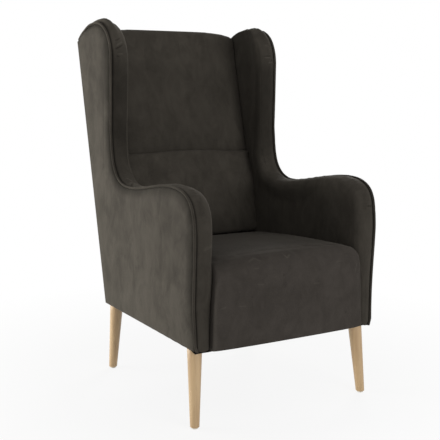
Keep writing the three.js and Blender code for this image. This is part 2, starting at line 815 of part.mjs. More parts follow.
// The outer back cover, gently full in the middle.
function makeOuterBack() {
  const stationShares = [-1, -0.8, -0.4, 0, 0.4, 0.8, 1];
  const runShares = [0, 0.06, 0.25, 0.5, 0.75, 0.94, 1];
  const foot = backPointAtHeight(legHeight, 0);
  const footRun = (foot.y - legHeight) / Math.cos(recline);
  const loops = stationShares.map((stationShare) => {
    const rear = runShares.map((runShare) => {
      const full = backPanelCrown * crownShape(stationShare) * crownShape(2 * runShare - 1);
      return [THREE.MathUtils.lerp(footRun, backFrameRun, runShare), -full];
    });
    const front = [[backFrameRun, backPanelThickness], [footRun, backPanelThickness]];
    return toSideView([...rear, ...front]).map(atSide(stationShare * bandPlane));
  });
  addPart("outer_back_panel", loft(loops, sideView), finishes.velvetSide);
}

function makeDustCover() {
  const half = bandPlane - dustCoverMargin;
  const rear = backPointAtHeight(legHeight, frameFloor).x - dustCoverMargin;
  const height = [legHeight, legHeight + dustCoverThickness];
  const sheet = block([-half, half], [railFront, rear], height);
  const holes = legs.flatMap((leg) => {
    const hole = boltHole(leg, legHeight - cutOverrun, railBase + clearance);
    return [hole, mirrored(hole)];
  });
  addPart("dust_cover", cut(sheet, holes), finishes.liner);
}

// A tapered, splayed leg with level ends and a bore for its bolt.
function makeLegs() {
  const top = legHeight - clearance;
  const foot = glideThickness + clearance;
  const rounding = legRoundingHeight;
  const levels = [
    { height: foot, radius: legFootRadius - rounding },
    { height: foot + rounding, radius: legFootRadius },
    { height: top - rounding, radius: legTopRadius },
    { height: top, radius: legTopRadius - rounding / 2 },
  ];
  for (const leg of legs) {
    const loops = levels.map(({ height, radius }) => {
      const spread = (top - height) / (top - foot);
      const side = legTopSide + leg.splay.side * spread;
      const depth = leg.depth + leg.splay.depth * spread;
      const ring = round(new THREE.Vector2(side, depth), radius, turnedSides);
      return ring.map((point) => new THREE.Vector3(point.x, point.y, height));
    });
    const bore = boltHole(leg, top - boltLegLength - clearance, top + cutOverrun);
    addPair(`leg_${leg.name}`, cut(loft(loops, topView), [bore]), finishes.beech);
    const boltSpan = [top - boltLegLength, baseRailTop - boltTopMargin];
    const bolt = upright(boltRadius, boltSpan[0], boltSpan[1], legTopSide, leg.depth);
    addPair(`leg_bolt_${leg.name}`, bolt, finishes.zincSteel);
    const profile = [
      new THREE.Vector2(0, 0),
      new THREE.Vector2(glideRadius - glideBevel, 0),
      new THREE.Vector2(glideRadius, glideBevel),
      new THREE.Vector2(glideRadius, glideThickness),
      new THREE.Vector2(0, glideThickness),
    ];
    const glide = new THREE.LatheGeometry(profile, smallSides).rotateX(Math.PI / 2);
    const seated = glide.translate(legTopSide + leg.splay.side, leg.depth + leg.splay.depth, 0);
    addPair(`leg_glide_${leg.name}`, bareGeometry(seated), finishes.nylon);
  }
}

makeLegs();
makeSeatFrame();
makeBackFrame();
makeSideBoards();
makeSprings();
makeSeat();
makeBackPads();
makeSidePads();
makeOuterSides();
makeOuterBack();
makeDustCover();

// The origin is on the floor, in the middle of the chair's width and depth.
const reach = new THREE.Box3().setFromObject(chair);
chair.position.y = -(reach.min.y + reach.max.y) / 2;

export default chair;
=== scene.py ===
import math

import bpy
import numpy as np
from mathutils import Matrix, Vector, kdtree

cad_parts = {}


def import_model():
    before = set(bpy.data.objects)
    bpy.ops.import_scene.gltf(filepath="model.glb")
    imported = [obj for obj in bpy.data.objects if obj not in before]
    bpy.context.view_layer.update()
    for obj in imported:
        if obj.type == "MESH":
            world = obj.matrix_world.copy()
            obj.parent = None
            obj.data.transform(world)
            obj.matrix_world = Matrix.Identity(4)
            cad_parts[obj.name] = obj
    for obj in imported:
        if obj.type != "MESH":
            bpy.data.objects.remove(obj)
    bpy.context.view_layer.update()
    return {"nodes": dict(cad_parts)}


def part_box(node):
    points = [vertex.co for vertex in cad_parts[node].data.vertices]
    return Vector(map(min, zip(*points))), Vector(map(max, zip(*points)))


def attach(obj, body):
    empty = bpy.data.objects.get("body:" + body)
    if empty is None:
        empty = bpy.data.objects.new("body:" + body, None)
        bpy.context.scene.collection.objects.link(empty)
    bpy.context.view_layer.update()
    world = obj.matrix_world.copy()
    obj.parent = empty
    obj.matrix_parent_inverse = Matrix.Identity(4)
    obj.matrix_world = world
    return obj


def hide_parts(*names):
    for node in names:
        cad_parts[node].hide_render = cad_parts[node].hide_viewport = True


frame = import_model()
scene = bpy.context.scene
nodes = frame["nodes"]

# Sizes of the chair in metres, as its solids have them.
HALF_WIDTH = 0.289
LEG_HEIGHT = 0.212
BASE_DEPTH = 0.579
DEPTH_OF_ORIGIN = 0.37014
RECLINE = math.radians(12.9)
WELT_RADIUS = 0.0035
WELT_PLANE = HALF_WIDTH - WELT_RADIUS
PANEL_PLANE = WELT_PLANE - WELT_RADIUS
LEG_TOP_RADIUS = 0.020
LEG_FOOT_RADIUS = 0.0125
# Across and depth of each leg's top, and how far its foot stands off it.
LEG_PLACES = {
    "front_left": (-0.2635, 0.045, -0.0115, -0.021),
    "front_right": (0.2635, 0.045, 0.0115, -0.021),
    "rear_left": (-0.2635, 0.557, -0.0045, 0.027),
    "rear_right": (0.2635, 0.557, 0.0045, 0.027),
}
REAR_FLARE = 0.007
FOOT_ROUNDING = 0.009
COVER_RISE = 0.0105
GLIDE_RADIUS = 0.009
GLIDE_THICKNESS = 0.004
RIM_ROUNDING = 0.0009
STAPLE_SPACING = 0.045
# How fast the rear edge of a side runs back as it rises.
REAR_SLOPE = 0.2211
# How far the filling can push a pad's cover out, its air pressure, and the frames it takes.
PAD_SWELL = 0.003
PAD_PRESSURE = 4
PAD_FRAMES = 20
CLOTH_THICKNESS = 0.0012

# Which way each side lies along X.
SIDES = {"left": -1, "right": 1}

# Where the photo was taken from, in metres, with the camera's turn in degrees and its lens.
CAMERA_PLACE = (-1.28234, -2.22216, 0.88678)
CAMERA_YAW = 29.985
CAMERA_PITCH = 8.953
CAMERA_ROLL = 0.105
CAMERA_LENS = 70.06
FILM_WIDTH = 36
WHITE = (1, 1, 1, 1)

# The outline of arm and wing in depth and height, with both handles of each of its points.
OUTLINE = [
    ((0.0000, 0.2120), (0.0000, 0.1800), (0.0070, 0.3431)),
    ((-0.0070, 0.5100), (-0.0070, 0.4266), (-0.0070, 0.5966)),
    ((0.1270, 0.6270), (0.0292, 0.6270), (0.2041, 0.6270)),
    ((0.3680, 0.5985), (0.2885, 0.5985), (0.4717, 0.5985)),
    ((0.5120, 0.7550), (0.4976, 0.6298), (0.5120, 0.8135)),
    ((0.5120, 0.9500), (0.5120, 0.8915), (0.5120, 1.0238)),
    ((0.6450, 1.0730), (0.5599, 1.0730), (0.6931, 1.0730)),
    ((0.7595, 1.0283), (0.7309, 1.0480), (0.7700, 1.0200)),
]
# How far each side's edge lies outside that outline, and how much more its padded band
# stands out at its inner rim, at distances along the outline.
EDGE_DRIFT = {
    "left": [(0, 0), (0.72, 0), (0.80, -0.004), (0.90, -0.011), (0.98, -0.006), (1.04, -0.002)]
    + [(1.10, 0.001), (1.18, 0.004), (1.24, 0.008), (1.28, 0.007), (1.33, 0.003), (1.40, -0.004)]
    + [(1.46, -0.005), (1.5, -0.001)],
    "right": [(0, 0), (0.28, 0.0), (0.33, -0.0025), (0.39, 0.0015), (0.45, 0), (0.52, -0.003)]
    + [(0.70, -0.006), (0.80, -0.013), (0.88, -0.010), (0.96, -0.003), (1.08, 0.001)]
    + [(1.2, 0.0035), (1.28, 0.003), (1.33, -0.001), (1.38, -0.012), (1.46, -0.010)],
}
BAND_SWELL = {
    "left": [(0, 0), (0.9, 0), (1.1, 0.002), (1.19, 0.004), (1.27, 0.000), (1.35, 0.002), (1.43, 0)],
    "right": [(0, 0), (0.9, 0), (1.1, -0.002), (1.22, -0.002), (1.30, 0.002), (1.38, 0.003), (1.45, 0)],
}
# How far the inner face of each arm leans over the seat at its nose, by height, and how far
# the inner face of each wing swells at its rim, by distance along the outline.
ARM_LEAN = {
    "left": [(0.212, 0.0015), (0.25, 0.0035), (0.33, 0.006), (0.40, 0.011), (0.50, 0.0135), (0.62, 0.013)],
    "right": [(0.212, 0.004), (0.25, 0.009), (0.33, 0.012), (0.40, 0.016), (0.50, 0.018), (0.62, 0.018)],
}
WING_SWELL = {
    "left": [(0.80, 0.006), (0.90, 0.001), (1.0, 0), (1.4, 0)],
    "right": [(0.80, 0.010), (0.90, 0.012), (1.0, 0.004), (1.12, 0.003), (1.28, 0.008), (1.4, 0)],
}

# What else differs between the sides. These are the fullness of the band over the wing's top,
# how far the outer cover lies below it, the painted shade in the welt's groove, the painted light
# beside it, the painted highlight on the raised band, the painted shade given as pile brushed
# down along wing and arm, and the radius of the seam at the wing's rim with its painted shade,
# which is a painted highlight where it is below nothing.
SIDE_LOOKS = {
    "left": {
        "puff": 0.009,
        "crest_drop": 0.006,
        "groove_shade": 0.6,
        "wear_and_painted_light": 0.0,
        "raised_and_painted_light": 0.16,
        "wing_nap_shade": 0.74,
        "arm_nap_shade": 0.50,
        "seam_radius": 0.0012,
        "seam_shade": -0.35,
    },
    "right": {
        "puff": 0.003,
        "crest_drop": 0.002,
        "groove_shade": 0.35,
        "wear_and_painted_light": 0.10,
        "raised_and_painted_light": 0.0,
        "wing_nap_shade": 0.96,
        "arm_nap_shade": 0.46,
        "seam_radius": 0.0005,
        "seam_shade": 0.35,
    },
}

# How far the cross seam of the back sags at places across it.
SEAM_SAG = [(-0.24, 0.003), (-0.20, 0.0035), (-0.12, 0.005), (-0.035, 0.0005), (0.05, 0.0005)]
SEAM_SAG += [(0.114, 0.0035), (0.177, 0.006), (0.24, 0.005)]

# How much painted shade darkens the outer covers beside the welt, and how far inwards.
WELT_SHADE = {
    "amount": [(0.0, 0.3), (0.15, 0.4), (0.25, 0.6), (0.40, 0.55), (0.6, 0.6), (0.9, 0.85)]
    + [(1.2, 0.85), (1.35, 0.5)],
    "reach": [(0.0, 0.03), (0.15, 0.035), (0.25, 0.06), (0.40, 0.06), (0.6, 0.045)]
    + [(1.05, 0.035), (1.22, 0.14), (1.35, 0.07)],
}

# Short folds in the covers. Each has its places in across, depth and height, its half width,
# its rise over the cover and how much painted shade it gets, or painted highlight if below nothing.
WING_FOLDS = {
    "left": [
        ([(-0.2765, 0.509, 0.99), (-0.265, 0.504, 0.996), (-0.249, 0.507, 1.004)], 0.0019, -0.0012, 0.55),
        ([(-0.2725, 0.51, 1.001), (-0.262, 0.506, 1.006), (-0.25, 0.51, 1.012)], 0.0022, 0.001, -0.4),
        ([(-0.2735, 0.515, 1.015), (-0.264, 0.511, 1.018), (-0.252, 0.517, 1.025)], 0.0017, -0.001, 0.45),
        ([(-0.2717, 0.503, 0.976), (-0.254, 0.499, 0.976)], 0.0018, 0.001, -0.3),
        ([(-0.274, 0.503, 0.97), (-0.266, 0.502, 0.969)], 0.0016, -0.0008, 0.4),
    ],
    "right": [
        ([(0.25, 0.523, 1.0135), (0.262, 0.519, 1.0133)], 0.002, 0.001, -0.35),
        ([(0.268, 0.521, 1.012), (0.2755, 0.522, 1.0125)], 0.0018, -0.001, 0.45),
        ([(0.243, 0.512, 0.974), (0.266, 0.506, 0.974)], 0.0018, 0.001, -0.45),
        ([(0.243, 0.514, 0.9795), (0.274, 0.509, 0.98)], 0.0017, -0.0009, 0.35),
        ([(0.269, 0.507, 0.967), (0.2745, 0.507, 0.966)], 0.0019, -0.001, 0.6),
        ([(0.256, 0.506, 0.9585), (0.2735, 0.506, 0.959)], 0.0018, 0.001, -0.4),
    ],
}
ARM_FOLDS = {
    "left": [
        ([(-0.272, -0.009, 0.477), (-0.257, -0.01, 0.482), (-0.238, -0.002, 0.486)], 0.0045, 0.0012, -0.14),
    ],
    "right": [
        ([(0.259, -0.007, 0.5535), (0.281, -0.003, 0.5525)], 0.0015, -0.001, 0.6),
    ],
}
VALLEY_FOLDS = {
    "left": [
        ([(-0.264, 0.44, 0.612), (-0.262, 0.395, 0.603)], 0.011, 0.0006, -0.5),
        ([(-0.268, 0.462, 0.627), (-0.262, 0.45, 0.62), (-0.256, 0.436, 0.614)], 0.0035, 0.0022, -0.35),
        ([(-0.256, 0.432, 0.612), (-0.268, 0.419, 0.608), (-0.281, 0.392, 0.603)], 0.0018, -0.0016, 0.6),
    ],
    "right": [
        ([(0.258, 0.455, 0.622), (0.268, 0.43, 0.611), (0.279, 0.405, 0.605)], 0.002, -0.0014, 0.4),
    ],
}
SEAT_FOLDS = [
    ([(-0.129, -0.023, 0.4187), (-0.109, -0.024, 0.418)], 0.0018, 0.0007, -0.22),
    ([(-0.119, -0.027, 0.3775), (-0.096, -0.027, 0.3745)], 0.0018, 0.0007, -0.2),
    ([(-0.027, -0.009, 0.445), (-0.019, -0.016, 0.436), (-0.004, -0.009, 0.444)], 0.0018, 0.0008, -0.3),
    ([(-0.226, -0.02, 0.324), (-0.208, -0.023, 0.328)], 0.002, 0.0008, -0.22),
    ([(-0.175, -0.025, 0.326), (-0.151, -0.026, 0.3245)], 0.0018, 0.0007, -0.2),
    ([(-0.14, -0.012, 0.435), (-0.118, -0.007, 0.442), (-0.097, -0.017, 0.433)], 0.0022, 0.0008, -0.2),
    ([(-0.137, -0.026, 0.347), (-0.13, -0.026, 0.344)], 0.003, -0.0006, 0.22),
    ([(-0.04, -0.027, 0.394), (-0.03, -0.027, 0.3925)], 0.0026, -0.0006, 0.22),
    ([(0.06, -0.027, 0.36), (0.085, -0.027, 0.358)], 0.0022, 0.0007, -0.16),
    ([(0.135, -0.024, 0.41), (0.156, -0.023, 0.412)], 0.0022, 0.0007, -0.16),
    ([(0.17, -0.026, 0.266), (0.177, -0.026, 0.264)], 0.003, -0.0006, 0.25),
]


def at_depth(depth):
    return depth - DEPTH_OF_ORIGIN


def outline_samples(steps=40):
    """Points along the outline in depth and height, and the direction inwards at each."""
    points, inwards = [], []
    shares = np.linspace(0, 1, steps, endpoint=False)
    for (start, _, first), (end, second, _) in zip(OUTLINE, OUTLINE[1:]):
        corners = np.array([start, first, second, end])
        rest = 1 - shares
        weights = [rest**3, 3 * rest**2 * shares, 3 * rest * shares**2, shares**3]
        points.extend(np.array(weights).T @ corners)
        slopes = [rest**2, 2 * rest * shares, shares**2]
        along = np.array(slopes).T @ np.diff(corners, axis=0)
        along /= np.linalg.norm(along, axis=1)[:, None]
        inwards.extend(np.stack([along[:, 1], -along[:, 0]], axis=1))
    points.append(OUTLINE[-1][0])
    inwards.append((-math.sin(RECLINE), -math.cos(RECLINE)))
    inwards[0] = (1, 0)
    return np.array(points), np.array(inwards)


EDGE, EDGE_INWARDS = outline_samples()
EDGE_RUN = np.concatenate([[0], np.cumsum(np.linalg.norm(np.diff(EDGE, axis=0), axis=1))])
edge_tree = kdtree.KDTree(len(EDGE))
for index, (depth, height) in enumerate(EDGE):
    edge_tree.insert((depth, height, 0), index)
edge_tree.balance()


def beside_edge(points):
    """For each point of a side, how far along the outline it lies and how far inside it, and the way in."""
    depth = points[:, 1] + DEPTH_OF_ORIGIN
    nearest = np.array([edge_tree.find((d, h, 0))[1] for d, h in zip(depth, points[:, 2])])
    across = np.stack([depth, points[:, 2]], axis=1) - EDGE[nearest]
    inwards = EDGE_INWARDS[nearest]
    return EDGE_RUN[nearest], (across * inwards).sum(axis=1), inwards


# Finishes.


class Shade:
    """One output of a finish's nodes. Sums on it add Math nodes."""

    def __init__(self, finish, socket):
        self.finish = finish
        self.socket = socket

    def math(self, operation, *others):
        return self.finish.math(operation, self, *others)

    def __add__(self, other):
        return self.math("ADD", other)

    def __sub__(self, other):
        return self.math("SUBTRACT", other)

    def __rsub__(self, other):
        return self.finish.math("SUBTRACT", other, self)

    def __mul__(self, other):
        return self.math("MULTIPLY", other)

    __radd__ = __add__
    __rmul__ = __mul__


class Nodes:
    """The nodes of one material or world."""

    def __init__(self, owner):
        owner.use_nodes = True
        self.tree = owner.node_tree
        self.tree.nodes.clear()

    def node(self, kind, settings=None, inputs=None, output=0):
        made = self.tree.nodes.new(kind)
        for setting, value in (settings or {}).items():
            setattr(made, setting, value)
        for socket, value in (inputs or {}).items():
            if isinstance(value, Shade):
                self.tree.links.new(value.socket, made.inputs[socket])
            else:
                made.inputs[socket].default_value = value
        return Shade(self, made.outputs[output])

    def math(self, operation, *values):
        settings = {"operation": operation}
        return self.node("ShaderNodeMath", settings, dict(enumerate(values)))

    def seen(self):
        """1 for what the camera sees, directly, in metal or through glass."""
        rays = ("Is Camera Ray", "Is Glossy Ray", "Is Transmission Ray")
        direct, mirrored, through = (self.node("ShaderNodeLightPath", output=ray) for ray in rays)
        return direct.math("MAXIMUM", mirrored).math("MAXIMUM", through)

    def end_in(self, kind, shader):
        self.tree.links.new(shader.socket, self.tree.nodes.new(kind).inputs[0])


class Finish(Nodes):
    """A material made of nodes, on a Principled shader."""

    def __init__(self, name, **constants):
        self.material = bpy.data.materials.new(name)
        super().__init__(self.material)
        self.shader = self.tree.nodes.new("ShaderNodeBsdfPrincipled")
        self.end_in("ShaderNodeOutputMaterial", Shade(self, self.shader.outputs[0]))
        for socket, value in constants.items():
            self.shader.inputs[socket.replace("_", " ")].default_value = value
        self.place = self.node("ShaderNodeTexCoord", output="Object")

    def stretched(self, scale):
        """The place on the piece, with each direction scaled by its own amount."""
        inputs = {"Vector": self.place, "Scale": scale}
        return self.node("ShaderNodeMapping", {"vector_type": "POINT"}, inputs)

    def noise(self, scale, detail=3.0, roughness=0.5, distortion=0.0, place=None):
        inputs = {
            "Vector": place or self.place,
            "Scale": scale,
            "Detail": detail,
            "Roughness": roughness,
            "Distortion": distortion,
        }
        return self.node("ShaderNodeTexNoise", None, inputs)

    def between(self, value, low, high):
        """The value's place between two limits, from 0 to 1, eased at both."""
        inputs = {"Value": value, "From Min": low, "From Max": high}
        return self.node("ShaderNodeMapRange", {"interpolation_type": "SMOOTHSTEP"}, inputs)

    def blend(self, factor, first, second):
        settings = {"data_type": "RGBA", "blend_type": "MIX", "clamp_factor": True}
        first, second = ((*c, 1) if isinstance(c, tuple) else c for c in (first, second))
        return self.node("ShaderNodeMix", settings, {0: factor, 6: first, 7: second}, 2)

    def attribute(self, name):
        """A number that the piece carries at each of its points."""
        return self.node("ShaderNodeAttribute", {"attribute_name": name}, output="Fac")

    def bump(self, height, distance, strength=1.0, below=None):
        inputs = {"Height": height, "Distance": distance, "Strength": strength}
        if below:
            inputs["Normal"] = below
        return self.node("ShaderNodeBump", None, inputs)

    def set(self, **sockets):
        for socket, value in sockets.items():
            self.tree.links.new(value.socket, self.shader.inputs[socket.replace("_", " ")])
        return self.material


def velvet(name, deep, raised_and_painted_light, streaks, contrast):
    """Short cotton pile: it is brushed in patches and streaks, with painted shade where it lies away and in
    seams, and painted highlights.
    """
    finish = Finish(
        name,
        Sheen_Weight=0.08,
        Sheen_Roughness=0.5,
        Sheen_Tint=(0.75, 0.69, 0.59, 1),
        Specular_IOR_Level=0.03,
    )
    patches = finish.noise(5.5, 3, 0.55, 0.8)
    brushed = finish.noise(1, 2, 0.55, 0.8, finish.stretched(streaks))
    smudges = finish.noise(1, 3, 0.6, 1.4, finish.stretched((24, 24, 14)))
    pile = finish.noise(900, 2, 0.6)
    fibres = finish.noise(1, 2, 0.6, 0.0, finish.stretched((2600, 2600, 700)))
    lay = patches * 0.34 + brushed * 0.36 + smudges * 0.30
    colour = finish.blend(finish.between(lay, 0.5 - contrast, 0.5 + contrast), deep, raised_and_painted_light)
    flecked = finish.blend(finish.between(pile, 0.3, 0.75) * 0.35, colour, (0.078, 0.068, 0.057))
    # Painted shade where the pile lies away, blended towards black.
    nap_shade_amount = finish.attribute("nap_painted_shade")
    nap_shaded = finish.blend(nap_shade_amount * 0.5, flecked, (0.0, 0.0, 0.0))
    painted_light_and_shade = finish.attribute("painted_light_and_shade")
    # Painted shade in seams, folds and gaps, towards near black, where the value is above nothing.
    seam_shaded = finish.blend(painted_light_and_shade * 0.9, nap_shaded, (0.004, 0.0035, 0.003))
    # Painted highlight, towards a pale tone, where the value is below nothing.
    wear_and_painted_light = finish.blend(painted_light_and_shade * -0.5, seam_shaded, (0.16, 0.145, 0.12))
    roughness = 0.78 + finish.between(lay, 0.3, 0.7) * 0.14
    soft = finish.bump(lay, 0.0035, 0.55)
    normal = finish.bump(pile * 0.6 + fibres * 0.4, 0.0005, 0.5, soft)
    return finish.set(Base_Color=wear_and_painted_light, Roughness=roughness, Normal=normal)


def beech():
    finish = Finish("beech", Specular_IOR_Level=0.4, Coat_Roughness=0.35)
    along = finish.stretched((70, 70, 3.2))
    grain = finish.noise(1, 5, 0.62, 0.9, along)
    figure = finish.noise(1, 3, 0.5, 1.6, finish.stretched((16, 16, 2.2)))
    rays = finish.node(
        "ShaderNodeTexVoronoi",
        {"feature": "F1"},
        {"Vector": finish.stretched((900, 900, 150)), "Scale": 1.0, "Randomness": 1.0},
    )
    pale = (0.515, 0.36, 0.195)
    warm = (0.395, 0.256, 0.132)
    tone = finish.between(grain * 0.6 + figure * 0.4, 0.34, 0.66)
    wood = finish.blend(tone, warm, pale)
    flecks = 1 - finish.between(rays, 0.05, 0.26)
    flecked = finish.blend(flecks * 0.45, wood, (0.36, 0.225, 0.12))
    roughness = 0.36 + grain * 0.16
    normal = finish.bump(grain * 0.5 + flecks * -0.5, 0.0004, 0.5)
    coat = 0.25 + figure * 0.1
    return finish.set(Base_Color=flecked, Roughness=roughness, Normal=normal, Coat_Weight=coat)


def planed_timber():
    finish = Finish("frame_timber", Specular_IOR_Level=0.3)
    grain = finish.noise(1, 5, 0.6, 1.2, finish.stretched((45, 9, 45)))
    growth = finish.noise(1, 3, 0.5, 2.2, finish.stretched((14, 3, 14)))
    tone = finish.between(grain * 0.5 + growth * 0.5, 0.35, 0.65)
    colour = finish.blend(tone, (0.47, 0.325, 0.17), (0.68, 0.53, 0.34))
    normal = finish.bump(grain, 0.0006, 0.5)
    return finish.set(Base_Color=colour, Roughness=0.62 + grain * 0.2, Normal=normal)


def birch_ply():
    finish = Finish("plywood", Specular_IOR_Level=0.3)
    face = finish.noise(1, 4, 0.6, 1.4, finish.stretched((30, 30, 5)))
    layers = finish.node(
        "ShaderNodeTexWave",
        {"wave_type": "BANDS", "bands_direction": "X"},
        {"Scale": 70.0, "Distortion": 0.4, "Detail": 2.0},
    )
    veneer = finish.blend(finish.between(face, 0.35, 0.65), (0.50, 0.345, 0.17), (0.66, 0.49, 0.28))
    colour = finish.blend(finish.between(layers, 0.45, 0.6) * 0.3, veneer, (0.33, 0.20, 0.095))
    normal = finish.bump(face, 0.0004, 0.4)
    return finish.set(Base_Color=colour, Roughness=0.6 + face * 0.2, Normal=normal)


def open_cell_foam():
    finish = Finish("foam", Specular_IOR_Level=0.15)
    cells = finish.node("ShaderNodeTexVoronoi", {"feature": "F1"}, {"Scale": 520.0})
    age = finish.noise(9, 3, 0.6)
    tone = finish.blend(finish.between(age, 0.35, 0.65), (0.70, 0.62, 0.40), (0.83, 0.77, 0.58))
    colour = finish.blend((1 - finish.between(cells, 0.1, 0.5)) * 0.4, tone, (0.45, 0.38, 0.22))
    normal = finish.bump(cells, 0.0012, 0.7)
    return finish.set(Base_Color=colour, Roughness=0.9 + age * 0.08, Normal=normal)


def pressed_felt():
    finish = Finish("felt", Specular_IOR_Level=0.1)
    fibres = finish.noise(1, 5, 0.75, 3.0, finish.stretched((420, 420, 420)))
    shreds = finish.noise(60, 4, 0.7, 4.0)
    base = finish.blend(finish.between(fibres, 0.3, 0.7), (0.09, 0.085, 0.08), (0.26, 0.245, 0.22))
    colour = finish.blend(finish.between(shreds, 0.58, 0.68) * 0.6, base, (0.30, 0.18, 0.12))
    normal = finish.bump(fibres, 0.001, 0.7)
    return finish.set(Base_Color=colour, Roughness=0.92 + shreds * 0.06, Normal=normal)


def woven_webbing():
    finish = Finish("webbing", Specular_IOR_Level=0.25)
    warp = finish.node(
        "ShaderNodeTexWave",
        {"wave_type": "BANDS", "bands_direction": "X"},
        {"Scale": 160.0, "Distortion": 0.3},
    )
    weft = finish.node(
        "ShaderNodeTexWave",
        {"wave_type": "BANDS", "bands_direction": "Z"},
        {"Scale": 110.0, "Distortion": 0.3},
    )
    weave = warp * 0.5 + weft * 0.5
    wear = finish.noise(24, 3, 0.6)
    colour = finish.blend(weave, (0.022, 0.019, 0.016), (0.105, 0.088, 0.068))
    wear_and_painted_light = finish.blend(finish.between(wear, 0.5, 0.75) * 0.4, colour, (0.16, 0.135, 0.105))
    normal = finish.bump(weave, 0.0008, 0.8)
    return finish.set(Base_Color=wear_and_painted_light, Roughness=0.7 + wear * 0.2, Normal=normal)


def oiled_steel():
    finish = Finish("spring_steel", Specular_IOR_Level=0.5)
    film = finish.noise(35, 4, 0.6, 0.6)
    drawn = finish.noise(1, 3, 0.6, 0.0, finish.stretched((900, 60, 900)))
    colour = finish.blend(finish.between(film, 0.3, 0.7), (0.12, 0.125, 0.135), (0.30, 0.30, 0.30))
    normal = finish.bump(drawn, 0.0002, 0.4)
    metallic = 0.92 + film * 0.06
    return finish.set(
        Base_Color=colour, Roughness=0.26 + film * 0.22, Metallic=metallic, Normal=normal
    )


def zinc_plate():
    finish = Finish("zinc_steel", Specular_IOR_Level=0.5)
    spangle = finish.node("ShaderNodeTexVoronoi", {"feature": "F1"}, {"Scale": 260.0})
    haze = finish.noise(90, 3, 0.6)
    colour = finish.blend(finish.between(spangle, 0.1, 0.6), (0.62, 0.63, 0.65), (0.42, 0.43, 0.45))
    normal = finish.bump(haze, 0.0002, 0.3)
    metallic = 0.93 + haze * 0.06
    return finish.set(
        Base_Color=colour, Roughness=0.24 + haze * 0.2, Metallic=metallic, Normal=normal
    )


def moulded_nylon():
    finish = Finish("glide_plastic", Specular_IOR_Level=0.45)
    grain = finish.noise(1300, 2, 0.6)
    scuffs = finish.noise(140, 4, 0.7, 1.5)
    base = finish.blend(finish.between(grain, 0.3, 0.7), (0.60, 0.56, 0.48), (0.70, 0.66, 0.58))
    colour = finish.blend(finish.between(scuffs, 0.55, 0.7) * 0.5, base, (0.36, 0.33, 0.28))
    normal = finish.bump(grain, 0.00015, 0.5)
    return finish.set(Base_Color=colour, Roughness=0.42 + scuffs * 0.25, Normal=normal)


def lining_cloth():
    finish = Finish("liner", Specular_IOR_Level=0.12)
    dots = finish.node("ShaderNodeTexVoronoi", {"feature": "F1"}, {"Scale": 620.0, "Randomness": 0.25})
    fibres = finish.noise(260, 5, 0.75, 3.0)
    pressed = 1 - finish.between(dots, 0.12, 0.3)
    base = finish.blend(finish.between(fibres, 0.3, 0.7), (0.008, 0.008, 0.008), (0.028, 0.027, 0.026))
    colour = finish.blend(pressed * 0.7, base, (0.045, 0.044, 0.043))
    normal = finish.bump(fibres * 0.4 - pressed * 0.6, 0.0004, 0.6)
    return finish.set(Base_Color=colour, Roughness=0.72 + fibres * 0.2, Normal=normal)


finishes = {
    "velvet": velvet("velvet", (0.0270, 0.0237, 0.0192), (0.0610, 0.0540, 0.0445), (20, 20, 9), 0.24),
    # The seat's copy of the velvet is darker, as painted shade, and the outer covers' copy lighter, as
    # painted light.
    "seat_velvet_painted_shade": velvet(
        "seat_velvet_painted_shade", (0.0245, 0.0212, 0.0186), (0.0495, 0.0430, 0.0384), (17, 17, 15), 0.24
    ),
    "outer_velvet_painted_light": velvet(
        "outer_velvet_painted_light", (0.0280, 0.0250, 0.0208), (0.0680, 0.0610, 0.0514), (15, 15, 9), 0.18
    ),
    "beech": beech(),
    "frame_timber": planed_timber(),
    "plywood": birch_ply(),
    "foam": open_cell_foam(),
    "felt": pressed_felt(),
    "webbing": woven_webbing(),
    "spring_steel": oiled_steel(),
    "zinc_steel": zinc_plate(),
    "glide_plastic": moulded_nylon(),
    "liner": lining_cloth(),
}

for node in nodes.values():
    node.material_slots[0].material = finishes[node.material_slots[0].material.name.split(".")[0]]


# Making pieces.


def pick(piece):
    bpy.ops.object.select_all(action="DESELECT")
    piece.select_set(True)
    bpy.context.view_layer.objects.active = piece


def under_name(name):
    """The active piece, under its own name."""
    piece = bpy.context.active_object
    piece.name = name
    piece.data.name = name
    return piece


def added(name, primitive, **settings):
    """A primitive at its size and place."""
    bpy.ops.object.select_all(action="DESELECT")
    primitive(**settings)
    return under_name(name)


def placed(name, data):
    """A mesh, curve, camera or lamp, set in the scene."""
    made = bpy.data.objects.new(name, data)
    scene.collection.objects.link(made)
    return made


def joined_up(name, points, lines, faces):
    """A piece from its points, and the lines or faces between them."""
    mesh = bpy.data.meshes.new(name)
    mesh.from_pydata(points, lines, faces)
    return placed(name, mesh)


def copy_of(source, name):
    piece = placed(name, source.data.copy())
    piece.data.name = name
    pick(piece)
    return piece


def into_mesh(piece):
    """Puts a piece's place, turn and size into its mesh."""
    pick(piece)
    bpy.ops.object.transform_apply(location=True, rotation=True, scale=True)


def edit(piece, select="SELECT"):
    pick(piece)
    bpy.ops.object.mode_set(mode="EDIT")
    bpy.ops.mesh.select_all(action=select)


def done():
    bpy.ops.object.mode_set(mode="OBJECT")


def copy_of_node(node_name, name):
    """A copy of a solid's mesh, its loose triangles joined."""
    piece = copy_of(nodes[node_name], name)
    edit(piece)
    bpy.ops.mesh.remove_doubles(threshold=0.00005)
    done()
    return piece


def apply(piece, kind, **settings):
    pick(piece)
    modifier = piece.modifiers.new(kind.lower(), kind)
    for setting, value in settings.items():
        setattr(modifier, setting, value)
    bpy.ops.object.modifier_apply(modifier=modifier.name)


def points_of(piece):
    points = np.empty(len(piece.data.vertices) * 3)
    piece.data.vertices.foreach_get("co", points)
    return points.reshape(-1, 3)


def move_points(piece, points):
    piece.data.vertices.foreach_set("co", points.ravel())
    piece.data.update()


def normals_of(piece):
    normals = np.empty(len(piece.data.vertices) * 3)
    piece.data.vertex_normals.foreach_get("vector", normals)
    return normals.reshape(-1, 3)


